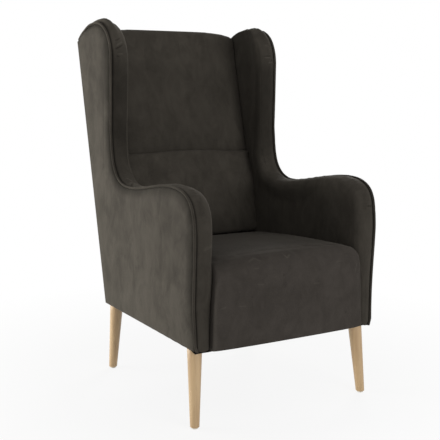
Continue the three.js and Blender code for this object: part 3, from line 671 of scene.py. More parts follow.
def finished(piece, slot, *replaced, smooth=None, finish=None):
    """Gives a piece its finish and its smooth faces, and sets it on the chair."""
    pick(piece)
    if smooth is None:
        bpy.ops.object.shade_smooth()
    else:
        bpy.ops.object.shade_smooth_by_angle(angle=math.radians(smooth))
    piece.data.materials.clear()
    piece.data.materials.append(finishes[finish or slot])
    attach(piece, "root")
    if replaced:
        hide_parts(*replaced)
    return piece


def eased(value, low, high):
    """From 0 at one limit to 1 at the other, without a corner at either."""
    share = np.clip((value - low) / (high - low), 0, 1)
    return share * share * (3 - 2 * share)


# Pads.


def fill_pad(piece, voxel, slack, freedom):
    """Sews the pad a little small, fills it, and stops each point of its cover at its own limit."""
    apply(piece, "REMESH", mode="VOXEL", voxel_size=voxel)
    apply(piece, "SMOOTH", factor=0.5, iterations=2)
    edit(piece)
    bpy.ops.transform.shrink_fatten(value=-slack)
    done()
    sewn = points_of(piece)
    outwards = normals_of(piece)
    pick(piece)
    filling = piece.modifiers.new("filling", "CLOTH")
    filling.settings.quality = 3
    filling.settings.mass = 0.3
    filling.settings.tension_stiffness = 15
    filling.settings.compression_stiffness = 15
    filling.settings.shear_stiffness = 5
    filling.settings.bending_stiffness = 0.5
    filling.settings.use_pressure = True
    filling.settings.uniform_pressure_force = PAD_PRESSURE
    filling.settings.effector_weights.gravity = 0
    filling.collision_settings.use_collision = False
    filling.point_cache.frame_start = 1
    filling.point_cache.frame_end = PAD_FRAMES
    for moment in range(1, PAD_FRAMES + 1):
        scene.frame_set(moment)
    bpy.ops.object.modifier_apply(modifier=filling.name)
    scene.frame_set(1)
    moved = points_of(piece) - sewn
    inwards = np.minimum(0, (moved * outwards).sum(axis=1))
    moved = moved - inwards[:, None] * outwards
    far = np.linalg.norm(moved, axis=1)
    share = np.minimum(1, PAD_SWELL * freedom(sewn) / np.maximum(far, 1e-9))
    move_points(piece, sewn + moved * share[:, None])
    apply(piece, "SUBSURF", levels=1, render_levels=1)


def settle_side(piece, side):
    """Sets a side as the real one sits, its edge a little off the outline and its foot turned in."""
    points = points_of(piece)
    run, inside, inwards = beside_edge(points)
    out = np.interp(run, *zip(*EDGE_DRIFT[side])) * (1 - eased(inside, 0.0, 0.09))
    points[:, 1:] -= inwards * out[:, None]
    outwards = np.sign(points[:, 0])
    outer = eased(np.abs(points[:, 0]), 0.262, PANEL_PLANE)
    near_edge = 1 - eased(inside, 0.02, 0.12)
    if side == "left":
        points[:, 0] += outwards * 0.0045 * eased(points[:, 2], 0.23, 0.35) * outer * near_edge
    if side == "right":
        depth = points[:, 1] + DEPTH_OF_ORIGIN
        front_foot = (1 - eased(points[:, 2], LEG_HEIGHT, 0.245)) * (1 - eased(depth, 0.008, 0.045))
        points[:, 2] -= 0.006 * front_foot * eased(np.abs(points[:, 0]), 0.250, 0.278)
    low = np.clip((LEG_HEIGHT + FOOT_ROUNDING - points[:, 2]) / FOOT_ROUNDING, 0, 1)
    points[:, 0] -= outwards * outer * FOOT_ROUNDING * 0.8 * (1 - np.sqrt(1 - low * low * 0.96))
    move_points(piece, points)


def seat():
    """The fixed seat, tight over its foam and rolled over in front."""
    piece = copy_of_node("seat_pad", "seat_cover")
    lowest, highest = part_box("seat_pad")

    def freedom(points):
        side = eased(highest.x - np.abs(points[:, 0]), 0.002, 0.03)
        foot = eased(points[:, 2], LEG_HEIGHT, LEG_HEIGHT + 0.05)
        back = eased(highest.y - points[:, 1], 0.0, 0.05)
        return 0.25 + 0.75 * side * foot * back

    fill_pad(piece, 0.007, 0.0004, freedom)
    fit_between_arms(piece, lowest.x, highest.x)
    for direction in SIDES.values():
        square_front(piece, direction, direction, 0.0035)
    fill_seat_roll(piece)
    shade_seat(piece, fold(piece, SEAT_FOLDS, (0, -1, 0)))
    finished(piece, "velvet", "seat_pad", finish="seat_velvet_painted_shade")


def fit_between_arms(piece, leftmost, rightmost):
    """Narrows the seat where the arms lean over it, and lets its skirt hang over the lining."""
    points = points_of(piece)
    points[:, 0] = np.clip(points[:, 0] * 1.006, leftmost + 0.0002, rightmost - 0.0002)
    for side, direction in SIDES.items():
        beside = eased(points[:, 0] * direction, 0.15, rightmost)
        points[:, 0] -= direction * beside * (arm_lean(side, points) - 0.003)
    foot = 1 - eased(points[:, 2], LEG_HEIGHT, LEG_HEIGHT + 0.02)
    front = 1 - eased(points[:, 1], at_depth(0.0), at_depth(0.022))
    points[:, 2] -= foot * (0.001 + 0.0025 * front)
    move_points(piece, points)


def fill_seat_roll(piece):
    """Fills the rolled front edge of the seat, more towards the right."""
    points = points_of(piece)
    forwards = np.array((0, -math.sqrt(0.5), math.sqrt(0.5)))
    fuller = 0.003 + 0.007 * eased(points[:, 0], 0.10, 0.21)
    fuller *= eased(normals_of(piece) @ forwards, 0.55, 0.95)
    move_points(piece, points + forwards * fuller[:, None])


def shade_seat(piece, shade):
    """Painted shade on the seat's top, where the pile lies back, and a painted highlight on the left front
    corner.
    """
    points = points_of(piece)
    normals = normals_of(piece)
    upwards = eased(normals[:, 2], 0.5, 0.85)
    record(piece, "nap_painted_shade", upwards * eased(points[:, 1], at_depth(-0.012), at_depth(0.09)))
    left_corner = 1 - eased(points[:, 0], -0.241, -0.226)
    left_corner *= eased(-normals[:, 1], 0.1, 0.4) * (1 - eased(points[:, 2], 0.38, 0.42))
    record(piece, "painted_light_and_shade", shade - 0.22 * left_corner)


def square_front(piece, half, outwards, amount):
    """Draws the cloth out at the upright front edge of a pad, on one half, and at its foot."""
    points = points_of(piece)
    normals = normals_of(piece)
    on_half = points[:, 0] * half > 0.15
    low = 1 - eased(points[:, 2], 0.36, 0.46)
    front = 1 - eased(points[:, 1], at_depth(0.03), at_depth(0.06))
    for way, reach in (((outwards, -1, 0), amount), ((outwards, -1, -1), amount * 0.4)):
        way = np.array(way) / np.linalg.norm(way)
        share = eased(normals @ way, 0.70, 0.95) * on_half * low * front
        points += way * (reach * share)[:, None]
    move_points(piece, points)


def back_pads():
    """The lumbar pad and the pad above it, which meet at the cross seam."""
    for node_name, name in (("lumbar_pad", "lumbar_cover"), ("upper_back_pad", "upper_back_cover")):
        piece = copy_of_node(node_name, name)
        lowest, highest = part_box(node_name)

        def freedom(points):
            return 0.3 + 0.7 * eased(highest.x - np.abs(points[:, 0]), 0.002, 0.03)

        fill_pad(piece, 0.006, 0.0004, freedom)
        if node_name == "lumbar_pad":
            fill_lumbar_corner(piece, highest.x)
            close_cross_seam(piece, highest.z, 1)
            shade_lumbar(piece)
        else:
            reach_wings(piece, highest.x)
            close_cross_seam(piece, lowest.z, -1)
            shade_upper_back(piece, lowest.z)
        finished(piece, "velvet", node_name)


def reach_wings(piece, half_width):
    """Widens a pad of the back into its wings, brings its sides forward and gives what faces front."""
    points = points_of(piece)
    fronts = eased(-normals_of(piece)[:, 1], 0.2, 0.8)
    points[:, 0] *= 1 + (REAR_FLARE + 0.004 * eased(points[:, 2], 0.95, 1.03)) / half_width
    sides = eased(np.abs(points[:, 0]), 0.10, 0.20) * fronts
    points[:, 1] -= 0.007 * sides * eased(points[:, 2], 0.50, 0.64)
    move_points(piece, points)
    return fronts


def fill_lumbar_corner(piece, half_width):
    """Fills the lumbar pad's top corner beside the right wing."""
    fronts = reach_wings(piece, half_width)
    points = points_of(piece)
    corner = eased(points[:, 0], 0.12, 0.21) * fronts
    points[:, 1] -= 0.008 * corner * eased(points[:, 2], 0.50, 0.58)
    move_points(piece, points)


def close_cross_seam(piece, seam, towards_seam):
    """Presses a pad against the other at the cross seam, lets the seam sag and fills the right end."""
    points = points_of(piece)
    meeting = 1 - eased(np.abs(points[:, 2] - seam), 0.0, 0.02)
    points[:, 2] += 0.0034 * meeting * towards_seam
    sag = np.interp(points[:, 0], *zip(*SEAM_SAG))
    points[:, 2] -= sag * (1 - eased(np.abs(points[:, 2] - seam), 0.0, 0.08))
    points[:, 0] += 0.005 * eased(points[:, 0], 0.12, 0.22)
    move_points(piece, points)


def shade_lumbar(piece):
    """Painted shade low down behind the seat, and a little beside the left wing."""
    points = points_of(piece)
    record(piece, "nap_painted_shade", 0.5 * (1 - eased(points[:, 2], 0.44, 0.50)))
    beside_wing = (1 - eased(points[:, 0], -0.23, -0.18)) * eased(points[:, 2], 0.54, 0.60)
    record(piece, "painted_light_and_shade", 0.25 * beside_wing)


def shade_upper_back(piece, seam):
    """Painted shade, as pile lying down, above the cross seam and at both sides, but not at the top or low
    right.
    """
    points = points_of(piece)
    nap_shade = 0.24 + 0.14 * (1 - eased(points[:, 2] - seam, 0.02, 0.15))
    nap_shade *= 1 - 0.95 * eased(points[:, 2], 0.91, 1.00)
    nap_shade += 0.25 * eased(np.abs(points[:, 0]), 0.17, 0.23)
    lit = eased(points[:, 0], -0.02, 0.20) * (1 - eased(points[:, 2], 0.72, 0.85))
    record(piece, "nap_painted_shade", nap_shade * (1 - 0.9 * lit))


def inner_plane(depth, height):
    """X of the inner face of a side pad, which narrows towards the wing and flares beside the back."""
    plane = 0.242 - 0.012 * np.minimum(depth, 0.512) / 0.512
    flare = REAR_FLARE * eased(height, 0.42, 0.60) + 0.004 * eased(height, 0.95, 1.03)
    return plane + flare * eased(depth, 0.525, 0.60)


def arm_lean(side, points):
    """How far the inner face of an arm stands over the seat at each point."""
    depth = points[:, 1] + DEPTH_OF_ORIGIN
    lean = np.interp(points[:, 2], *zip(*ARM_LEAN[side]))
    return lean * (1 - eased(depth, 0.07, 0.30))


def side_pads():
    for side in SIDES:
        piece = copy_of_node(f"side_pad_{side}", f"side_cover_{side}")

        def freedom(points):
            across = np.abs(points[:, 0])
            return 0.2 + 0.8 * eased(PANEL_PLANE - across, 0.004, 0.03)

        fill_pad(piece, 0.006, 0.0002, freedom)
        shape_band(piece, side)
        settle_side(piece, side)
        shade = fold(piece, WING_FOLDS[side] + ARM_FOLDS[side], (0, -1, 0))
        shade_seams(piece, shade)
        shade = fold(piece, VALLEY_FOLDS[side], (0, 0, 1))
        shade_seams(piece, shade)
        finished(piece, "velvet", f"side_pad_{side}")


def shape_band(piece, side):
    """Draws the band out to its welt and leans the inner face of arm and wing over the seat."""
    points = points_of(piece)
    run, inside, inwards = beside_edge(points)
    across = np.abs(points[:, 0])
    depth = points[:, 1] + DEPTH_OF_ORIGIN
    plane = inner_plane(depth, points[:, 2])
    out = band_fullness(side, run, across) * (1 - eased(inside, 0.004, 0.05))
    points[:, 1:] -= inwards * out[:, None]
    across = np.maximum(across, plane + 0.0002)
    top = np.interp(run, *zip(*WING_SWELL[side])) * eased(run, 0.44, 0.56)
    top = top * (1 - eased(inside, 0.02, 0.08)) * (1 - eased(depth, 0.60, 0.68))
    lean = np.maximum(arm_lean(side, points), top)
    across -= lean * (1 - eased(across - plane, 0.0, 0.036))
    points[:, 0] = np.sign(points[:, 0]) * across
    foot = 1 - eased(points[:, 2], LEG_HEIGHT, LEG_HEIGHT + 0.014)
    points[:, 2] -= 0.0035 * foot * (1 - eased(depth, 0.0, 0.022))
    move_points(piece, points)
    square_front(piece, SIDES[side], -SIDES[side], 0.0045)
    shade_band(piece, side, run, inside, across)


def band_fullness(side, run, across):
    """How far a band stands out, where it tucks under its welt, swells and is puffed over the wing."""
    tucked = 0.0035 * eased(across, PANEL_PLANE - 0.012, PANEL_PLANE - 0.001)
    swell = np.interp(run, *zip(*BAND_SWELL[side]))
    swell = swell * (1 - eased(across, PANEL_PLANE - 0.016, PANEL_PLANE + 0.001))
    puffed = eased(across, PANEL_PLANE - 0.036, PANEL_PLANE - 0.012)
    puffed *= 1 - eased(across, PANEL_PLANE - 0.010, PANEL_PLANE - 0.001)
    puffed *= eased(run, 1.24, 1.33) * (1 - eased(run, 1.42, 1.48))
    return tucked + swell + puffed * SIDE_LOOKS[side]["puff"]


def shade_band(piece, side, run, inside, across):
    """Painted shade along wing and arm, as pile brushed down, and in the welt's groove, with painted light
    beside the welt and on the raised band.
    """
    looks = SIDE_LOOKS[side]
    along_wing = eased(run, 0.80, 1.0) * eased(EDGE_RUN[-1] - run, 0.26, 0.37)
    along_arm = 1 - eased(run, 0.30, 0.50)
    nap_shade = along_wing * looks["wing_nap_shade"] + along_arm * looks["arm_nap_shade"]
    record(piece, "nap_painted_shade", nap_shade * (1 - eased(inside, 0.010, 0.03)))
    seam = eased(across, PANEL_PLANE - 0.0055, PANEL_PLANE - 0.001)
    beside = eased(across, PANEL_PLANE - 0.017, PANEL_PLANE - 0.010) * (1 - seam)
    raised_and_painted_light = looks["raised_and_painted_light"] * eased(run, 1.12, 1.25) * (1 - seam)
    record(piece, "painted_light_and_shade", looks["groove_shade"] * seam - looks["wear_and_painted_light"] * beside - raised_and_painted_light)


def record(piece, name, amount):
    """Keeps a number at each point of a cover, which its finish reads."""
    layer = piece.data.attributes.new(name, "FLOAT", "POINT")
    layer.data.foreach_set("value", amount.astype(np.float32))


def finer(piece, places, reach):
    """Cuts the faces near some places into smaller ones, for folds narrower than the faces."""
    centres = np.empty(len(piece.data.polygons) * 3)
    piece.data.polygons.foreach_get("center", centres)
    centres = centres.reshape(-1, 3)
    near = np.zeros(len(centres), bool)
    for place in places:
        near |= np.linalg.norm(centres - np.array(place), axis=1) < reach
    edit(piece, "DESELECT")
    bpy.ops.mesh.select_mode(type="FACE")
    done()
    piece.data.polygons.foreach_set("select", near)
    bpy.ops.object.mode_set(mode="EDIT")
    bpy.ops.mesh.subdivide(number_cuts=2, smoothness=0.0)
    bpy.ops.mesh.select_mode(type="VERT")
    done()


def fold(piece, folds, facing):
    """Draws short folds into the points of a cover that face one way, and gives their painted shades and
    highlights.
    """
    everywhere = [(x, at_depth(y), z) for places, *_ in folds for x, y, z in places]
    finer(piece, everywhere, 0.02)
    points = points_of(piece)
    normals = normals_of(piece)
    facing = np.array(facing)
    faced = eased(normals @ facing, 0.1, 0.4)
    flat = 1 - np.abs(facing)
    shade = np.zeros(len(points))
    for places, half_width, rise, tone in folds:
        line = np.array([(x, at_depth(y), z) for x, y, z in places])
        spans = np.linspace(0, len(line) - 1, 25)
        steps = np.stack([np.interp(spans, range(len(line)), line[:, k]) for k in range(3)], axis=1)
        apart = points[:, None, :] - steps[None, :, :]
        near = np.abs(apart @ facing).min(axis=1) < 0.02
        away = np.linalg.norm(apart * flat, axis=2)
        nearest = away.argmin(axis=1)
        share = nearest / (len(steps) - 1)
        ends = eased(share, -0.05, 0.25) * eased(1 - share, -0.05, 0.25)
        weight = np.exp(-((away.min(axis=1) / half_width) ** 2)) * ends * faced * near
        points += normals * (weight * rise)[:, None]
        shade += weight * tone
    move_points(piece, points)
    return shade


def shade_seams(piece, shade):
    """Adds painted shade and highlight to what a cover has already."""
    layer = piece.data.attributes["painted_light_and_shade"]
    before = np.empty(len(shade), np.float32)
    layer.data.foreach_get("value", before)
    layer.data.foreach_set("value", (before + shade).astype(np.float32))


# Welts and tight panels.


def outline_curve(name, plane):
    """The outline of arm and wing as a curve in one plane of X."""
    curve = bpy.data.curves.new(name, "CURVE")
    curve.dimensions = "3D"
    curve.resolution_u = 24
    spline = curve.splines.new("BEZIER")
    spline.bezier_points.add(len(OUTLINE) - 1)
    for bend, (place, before, after) in zip(spline.bezier_points, OUTLINE):
        bend.co = (plane, at_depth(place[0]), place[1])
        bend.handle_left = (plane, at_depth(before[0]), before[1])
        bend.handle_right = (plane, at_depth(after[0]), after[1])
    made = placed(name, curve)
    pick(made)
    return made


def welts():
    for side, direction in SIDES.items():
        piece = outline_curve(f"welt_cord_{side}", direction * WELT_PLANE)
        piece.data.bevel_depth = WELT_RADIUS
        piece.data.bevel_resolution = 4
        piece.data.use_fill_caps = True
        bpy.ops.object.convert(target="MESH")
        piece = bpy.context.active_object
        # Painted shade on the welt, most on its underside, and a faint painted highlight high up.
        below = eased(beside_edge(points_of(piece))[1], 0.0005, 0.0035)
        upper = eased(points_of(piece)[:, 2], 0.70, 0.90)
        record(piece, "painted_light_and_shade", 0.25 - 0.30 * upper + 0.4 * below)
        settle_side(piece, side)
        finished(piece, "velvet", f"welt_{side}", smooth=50)
        welt_flange(side, direction)


def welt_flange(side, direction):
    """The seam allowance of the welt, nailed to the board under the edges of both covers."""
    piece = edge_line(f"welt_flange_{side}", 0.0022, direction * (WELT_PLANE + 0.001))
    edit(piece)
    bpy.ops.mesh.extrude_region_move(TRANSFORM_OT_translate={"value": (-direction * 0.014, 0, 0)})
    done()
    apply(piece, "SOLIDIFY", thickness=CLOTH_THICKNESS, offset=0.0)
    # The flange is painted dark, as shade under the covers.
    record(piece, "painted_light_and_shade", np.full(len(piece.data.vertices), 0.8))
    settle_side(piece, side)
    finished(piece, "velvet", smooth=50)


def tucks():
    """The cloth pulled in beside and behind the seat, and between each wing and the back's top."""
    for side, direction in SIDES.items():
        front_tuck(side, direction)
        top_tuck(side, direction)
    seat_tuck()


def front_tuck(side, direction):
    """The cloth between an arm and the seat, hollow across and leaning with the arm."""
    width, height = 0.022, 0.192
    middle = (direction * 0.2430, at_depth(0.0035), LEG_HEIGHT + 0.092)
    piece = tuck(f"front_tuck_{side}", middle, 90, (width, height, 1))
    points = points_of(piece)
    points[:, 0] -= direction * np.maximum(0, arm_lean(side, points) - 0.001)
    points[:, 1] += 0.002 * np.cos((points[:, 0] - middle[0]) / width * math.pi)
    move_points(piece, points)
    turned_over(piece, 0.9)


def top_tuck(side, direction):
    """The cloth over the top of the back beside a wing, which falls to the rear."""
    middle = (direction * 0.2340, at_depth(0.7361), 1.0306)
    fall = math.degrees(math.atan(0.235))
    turned_over(tuck(f"top_tuck_{side}", middle, -fall, (0.042, 0.050, 1)), 0.3)


def seat_tuck():
    middle = (0, at_depth(0.545), 0.400)
    turned_over(tuck("seat_tuck", middle, 90, (0.468, 0.080, 1)), 0.9)


def tuck(name, middle, tilt, size):
    """A small strip of cloth, cut to its size and then tilted about X."""
    piece = added(name, bpy.ops.mesh.primitive_plane_add, size=1, location=middle)
    bpy.ops.transform.resize(value=size)
    piece.rotation_euler.x = math.radians(tilt)
    into_mesh(piece)
    edit(piece)
    bpy.ops.mesh.subdivide(number_cuts=9)
    done()
    return piece


def turned_over(piece, shade):
    """Gives a tuck the thickness of its cloth, and its painted shade."""
    apply(piece, "SOLIDIFY", thickness=CLOTH_THICKNESS, offset=0.0)
    record(piece, "painted_light_and_shade", np.full(len(piece.data.vertices), shade))
    finished(piece, "velvet", smooth=50)


def edge_line(name, inset, plane):
    """The outline as a line of points, moved inwards, in one plane of X."""
    places = EDGE + EDGE_INWARDS * inset
    points = [(plane, at_depth(depth), height) for depth, height in places]
    return joined_up(name, points, [(index, index + 1) for index in range(len(points) - 1)], [])


def side_panels():
    for side, direction in SIDES.items():
        piece = rolled_cover(f"outer_side_cover_{side}", direction)
        points = points_of(piece)
        run, inside, _ = beside_edge(points)
        if side == "left":
            low = 1 - eased(points[:, 2], 0.45, 0.80)
            rearwards = eased(points[:, 1], at_depth(0.15), at_depth(0.50)) * low
            points[:, 0] -= 0.0025 * rearwards * (points[:, 0] < -PANEL_PLANE - 0.004)
        # Painted shade beside the welt and painted light above and towards the rear edge.
        record(piece, "painted_light_and_shade", panel_shade(points, run, inside))
        rise = np.abs(points[:, 0]) - PANEL_PLANE
        crest = eased(run, 1.18, 1.30) * (1 - eased(run, 1.40, 1.47))
        points[:, 2] -= SIDE_LOOKS[side]["crest_drop"] * crest * eased(rise, 0.0, 0.008)
        closing = eased(run, 1.44, EDGE_RUN[-1]) * (1 - eased(inside, 0.004, 0.016))
        points[:, 0] += direction * 0.004 * closing
        move_points(piece, points)
        settle_side(piece, side)
        finished(piece, "velvet", f"outer_side_panel_{side}", smooth=45, finish="outer_velvet_painted_light")


def panel_shade(points, run, inside):
    """The painted shade of an outer cover, dark in the welt's groove and beside it, with painted light
    above and behind.
    """
    height = points[:, 2]
    upper = eased(height, 0.55, 0.70)
    groove_shade = (0.7 + 0.2 * upper) * (1 - eased(inside, 0.0036, 0.0085 + 0.006 * upper))
    amount, reach = (np.interp(run, *zip(*WELT_SHADE[part])) for part in ("amount", "reach"))
    # Painted shade over the rolled edge beside the welt.
    roll = amount * (1 - eased(inside / reach, -0.2, 1.0)) * eased(height, 0.2, 0.3)
    rear_edge = BASE_DEPTH + REAR_SLOPE * (height - LEG_HEIGHT)
    to_rear = rear_edge - points[:, 1] - DEPTH_OF_ORIGIN
    # Painted light high up and towards the rear edge.
    wear_and_painted_light = np.maximum(0.16 * eased(height, 0.62, 0.80), 0.24 * (1 - eased(to_rear, 0.02, 0.14)))
    return np.maximum(groove_shade, roll) - wear_and_painted_light


def rolled_cover(name, direction):
    """A tight outer cover, whose rings follow its edge and round it over to a flat middle."""
    turns = np.radians(np.linspace(0, 90, 15))
    rings = [cover_ring(0, direction * (PANEL_PLANE + 0.0001))]
    for turn in turns:
        rise = 0.0006 + COVER_RISE * math.sin(turn)
        rings.append(cover_ring(1 - math.cos(turn), direction * (PANEL_PLANE + rise)))
    count = len(rings[0])
    faces = [list(range(count)), list(range(len(turns) * count, (len(turns) + 1) * count))]
    for ring in range(len(turns)):
        for corner in range(count):
            following = (corner + 1) % count
            near, far = ring * count, (ring + 1) * count
            faces.append([near + corner, near + following, far + following, far + corner])
    piece = joined_up(name, [point for ring in rings for point in ring], [], faces)
    edit(piece)
    bpy.ops.mesh.normals_make_consistent(inside=False)
    done()
    return piece


def cover_ring(share, plane):
    """A loop round the side, inset by a share of the width of each edge's roll."""
    welt_roll, rear_roll, foot_roll = 0.030 * share, 0.008 * share, 0.010 * share
    places = EDGE + EDGE_INWARDS * (0.0036 + welt_roll)
    places[0, 1] += foot_roll
    places[1:, 1] = np.maximum(places[1:, 1], LEG_HEIGHT + foot_roll + 0.0005)
    rear = np.array([math.cos(RECLINE), -math.sin(RECLINE)])
    corner = places[-1] + rear * (0.004 - rear_roll)
    rear_foot = (BASE_DEPTH - 0.0025 - rear_roll, LEG_HEIGHT + foot_roll)
    loop = [*places[:-1], corner, rear_foot]
    return [(plane, at_depth(depth), height) for depth, height in loop]


def rim_seams():
    """The sewn ridge where the band of each wing meets its inner face."""
    for side, direction in SIDES.items():
        path = rim_path(side, direction)
        curve = bpy.data.curves.new(f"rim_seam_{side}", "CURVE")
        curve.dimensions = "3D"
        spline = curve.splines.new("POLY")
        spline.points.add(len(path) - 1)
        for point, place in zip(spline.points, path):
            point.co = (*place, 1)
        curve.bevel_depth = SIDE_LOOKS[side]["seam_radius"]
        curve.bevel_resolution = 2
        curve.use_fill_caps = True
        pick(placed(f"rim_seam_{side}", curve))
        bpy.ops.object.convert(target="MESH")
        piece = bpy.context.active_object
        # Painted highlight on the left seam and painted shade on the right one.
        shade = SIDE_LOOKS[side]["seam_shade"]
        record(piece, "painted_light_and_shade", np.full(len(piece.data.vertices), shade))
        finished(piece, "velvet", smooth=50)


def rim_path(side, direction):
    """Points along the rim of a wing, felt for from inside it and steadied over their neighbours."""
    cover = bpy.data.objects[f"side_cover_{side}"]
    bpy.context.view_layer.update()
    first, last = 0.86, 1.36
    stand_off = 0.03
    path = []
    for run, (depth, height), inwards in zip(EDGE_RUN, EDGE, EDGE_INWARDS):
        if not first < run < last:
            continue
        plane = inner_plane(depth, height)
        before = (depth - inwards[0] * stand_off, height - inwards[1] * stand_off)
        start = Vector((direction * (plane - stand_off), at_depth(before[0]), before[1]))
        aim = Vector((direction, inwards[0], inwards[1])).normalized()
        met, place, _, _ = cover.ray_cast(start, aim)
        if met:
            path.append(place)
    path = np.array(path)
    reach = 3
    steady = np.ones(2 * reach + 1) / (2 * reach + 1)
    for axis in range(3):
        path[reach:-reach, axis] = np.convolve(path[:, axis], steady, "valid")
    return path


def back_panel():
    piece = copy_of_node("outer_back_panel", "outer_back_cover")
    finished(piece, "velvet", "outer_back_panel", smooth=35, finish="outer_velvet_painted_light")


# Legs and underside.


def leg(name, side, depth, lean_side, lean_depth):
    """A turned leg: a disc at the top, drawn out to the foot and rounded at both ends."""
    top = Vector((side, at_depth(depth), LEG_HEIGHT - 0.0003))
    foot = Vector((side + lean_side, at_depth(depth + lean_depth), GLIDE_THICKNESS + 0.0003))
    disc = {"vertices": 56, "radius": LEG_TOP_RADIUS, "fill_type": "NGON", "location": top}
    piece = added(f"turned_leg_{name}", bpy.ops.mesh.primitive_circle_add, **disc)
    edit(piece)
    steps = 8
    taper = LEG_FOOT_RADIUS - LEG_TOP_RADIUS
    for step in range(1, steps + 1):
        bpy.ops.mesh.extrude_region_move(TRANSFORM_OT_translate={"value": (foot - top) / steps})
        before = LEG_TOP_RADIUS + taper * (step - 1) / steps
        after = LEG_TOP_RADIUS + taper * step / steps
        middle = top + (foot - top) * step / steps
        bpy.ops.transform.resize(value=(after / before,) * 3, center_override=middle)
    done()
    edit(piece)
    bpy.ops.mesh.normals_make_consistent(inside=False)
    done()
    round_rims(piece, RIM_ROUNDING)
    into_mesh(piece)
    finished(piece, "beech", f"leg_{name}", smooth=40)


def round_rims(piece, width):
    """Rounds the edges between flat ends and turned sides."""
    edit(piece, "DESELECT")
    bpy.ops.mesh.select_mode(type="EDGE")
    bpy.ops.mesh.edges_select_sharp(sharpness=math.radians(50))
    bpy.ops.mesh.bevel(offset=width, segments=3, affect="EDGES")
    bpy.ops.mesh.select_mode(type="VERT")
    done()


def glide(name, side, depth, lean_side, lean_depth):
    """The moulded disc under a foot."""
    middle = (side + lean_side, at_depth(depth + lean_depth), GLIDE_THICKNESS / 2)
    disc = {"vertices": 40, "radius": GLIDE_RADIUS, "depth": GLIDE_THICKNESS, "location": middle}
    piece = added(f"nylon_glide_{name}", bpy.ops.mesh.primitive_cylinder_add, **disc)
    round_rims(piece, RIM_ROUNDING)
    into_mesh(piece)
    finished(piece, "glide_plastic", f"leg_glide_{name}", smooth=40)


def legs():
    for name, place in LEG_PLACES.items():
        leg(name, *place)
        glide(name, *place)


def dust_cover():
    """The lining, which hangs a little between its staples and laps over the seat cover in front."""
    half_width, front, rear = 0.2835, at_depth(0.0045), at_depth(0.5765)
    middle = (0, (front + rear) / 2, LEG_HEIGHT - 0.0006)
    grid = {"x_subdivisions": 96, "y_subdivisions": 96, "size": 1, "location": middle}
    piece = added("lining_under_seat", bpy.ops.mesh.primitive_grid_add, **grid)
    bpy.ops.transform.resize(value=(half_width * 2, rear - front, 1))
    into_mesh(piece)
    points = points_of(piece)
    to_side = half_width - np.abs(points[:, 0])
    to_end = np.minimum(points[:, 1] - front, rear - points[:, 1])
    points[:, 2] -= 0.0028 * eased(to_side, 0.02, 0.20) * eased(to_end, 0.02, 0.20)
    between = np.sin(points[:, 0] / STAPLE_SPACING * math.pi) ** 2 * (1 - eased(to_end, 0.0, 0.05))
    between += np.sin(points[:, 1] / STAPLE_SPACING * math.pi) ** 2 * (1 - eased(to_side, 0.0, 0.05))
    points[:, 2] -= 0.0005 * between
    points[:, 2] -= 0.0040 * (1 - eased(points[:, 1] - front, 0.006, 0.022))
    move_points(piece, points)
    apply(piece, "SOLIDIFY", thickness=0.0005, offset=0.0)
    half_width * 2
    rear - front
    finished(piece, "liner", "dust_cover", smooth=40)
    staples()


def staples():
    """The wire staples of the lining. One is modelled and copied along the four rails."""
    middle = (0, 0, LEG_HEIGHT - 0.0015)
    first = added("lining_staple", bpy.ops.mesh.primitive_cube_add, size=1, location=middle)
    bpy.ops.transform.resize(value=(0.0100, 0.0012, 0.0008))
    into_mesh(first)
    round_rims(first, 0.0003)
    places = []
    for step in range(-5, 6):
        for depth in (0.0300, 0.5600):
            places.append((step * STAPLE_SPACING, at_depth(depth), 0))
    for step in range(-6, 4):
        for direction in SIDES.values():
            places.append((direction * 0.2700, (step + 0.5) * STAPLE_SPACING, 90))
    made = []
    for number, (x, y, turn) in enumerate(places):
        piece = copy_of(first, f"lining_staple_{number}")
        points = points_of(piece)
        if turn:
            points[:, :2] = points[:, 1::-1] * (1, -1)
        points[:, :2] += (x, y)
        move_points(piece, points)
        made.append(piece)
    bpy.data.objects.remove(first)
    pick(made[0])
    for piece in made:
        piece.select_set(True)
    bpy.ops.object.join()
    finished(under_name("lining_staples"), "zinc_steel", smooth=40)


# Camera, light and floor.


def camera():
    """The camera where the photo was taken from."""
    angles = (CAMERA_YAW, CAMERA_PITCH, CAMERA_ROLL)
    yaw, pitch, roll = (math.radians(angle) for angle in angles)
    level = math.cos(pitch)
    forward = Vector((math.sin(yaw) * level, math.cos(yaw) * level, -math.sin(pitch)))
    right = Vector((math.cos(yaw), -math.sin(yaw), 0))
    up = right.cross(forward)
    turned_right = right * math.cos(roll) + up * math.sin(roll)
    turned_up = up * math.cos(roll) - right * math.sin(roll)
    lens = bpy.data.cameras.new("camera")
    lens.sensor_width = FILM_WIDTH
    lens.lens = CAMERA_LENS
    holder = placed("camera", lens)
    turn = Matrix((turned_right, turned_up, -forward)).transposed()
    holder.matrix_world = Matrix.Translation(CAMERA_PLACE) @ turn.to_4x4()
    scene.camera = holder


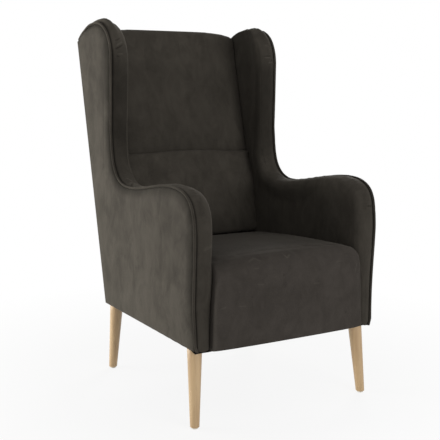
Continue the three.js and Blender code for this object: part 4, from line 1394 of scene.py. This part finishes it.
def softbox(name, place, target, width, height, power, tint=(1, 1, 1)):
    light = bpy.data.lights.new(name, "AREA")
    light.shape = "RECTANGLE"
    light.size = width
    light.size_y = height
    light.energy = power
    light.color = tint
    holder = placed(name, light)
    holder.location = place
    holder.rotation_euler = (Vector(target) - Vector(place)).to_track_quat("-Z", "Y").to_euler()


def lights():
    softbox("key_left", (-3.0, 1.7, 0.5), (-0.28, 0.0, 0.55), 2.2, 0.9, 120, (1.0, 1.0, 0.965))
    softbox("front", (0.5, -3.5, 1.1), (0, 0, 0.6), 1.8, 1.2, 49)
    softbox("rear_right", (2.6, 2.2, 1.5), (0.2, 0.2, 0.6), 1.6, 1.6, 55)


def world():
    """An even room that the camera sees as white."""
    scene.world = bpy.data.worlds.new("studio")
    made = Nodes(scene.world)
    room = made.node("ShaderNodeBackground", None, {"Color": WHITE, "Strength": 0.47})
    backdrop = made.node("ShaderNodeBackground", None, {"Color": WHITE, "Strength": 1.0})
    either = made.node("ShaderNodeMixShader", None, {0: made.seen(), 1: room, 2: backdrop})
    made.end_in("ShaderNodeOutputWorld", either)


def floor():
    """A pale floor that keeps the chair's shadow and fades to white round it."""
    plane = {"size": 14, "location": (0, 0, -0.0002)}
    piece = added("studio_floor", bpy.ops.mesh.primitive_plane_add, **plane)
    into_mesh(piece)
    material = bpy.data.materials.new("studio_floor")
    made = Nodes(material)
    matt = made.node("ShaderNodeBsdfDiffuse", None, {"Color": (0.82, 0.82, 0.82, 1)})
    white = made.node("ShaderNodeEmission", None, {"Strength": 1.0})
    place = made.node("ShaderNodeTexCoord", output="Object")
    reach = made.node("ShaderNodeVectorMath", {"operation": "LENGTH"}, {0: place}, "Value")
    fade = {"Value": reach, "From Min": 0.5, "From Max": 1.3, "To Min": 0.86, "To Max": 1.0}
    far_out = made.node("ShaderNodeMapRange", None, fade)
    either = made.node("ShaderNodeMixShader", None, {0: made.seen() * far_out, 1: matt, 2: white})
    made.end_in("ShaderNodeOutputMaterial", either)
    piece.data.materials.append(material)


seat()
back_pads()
side_pads()
rim_seams()
tucks()
welts()
side_panels()
back_panel()
legs()
dust_cover()
camera()
lights()
world()
floor()

scene.view_settings.view_transform = "Standard"
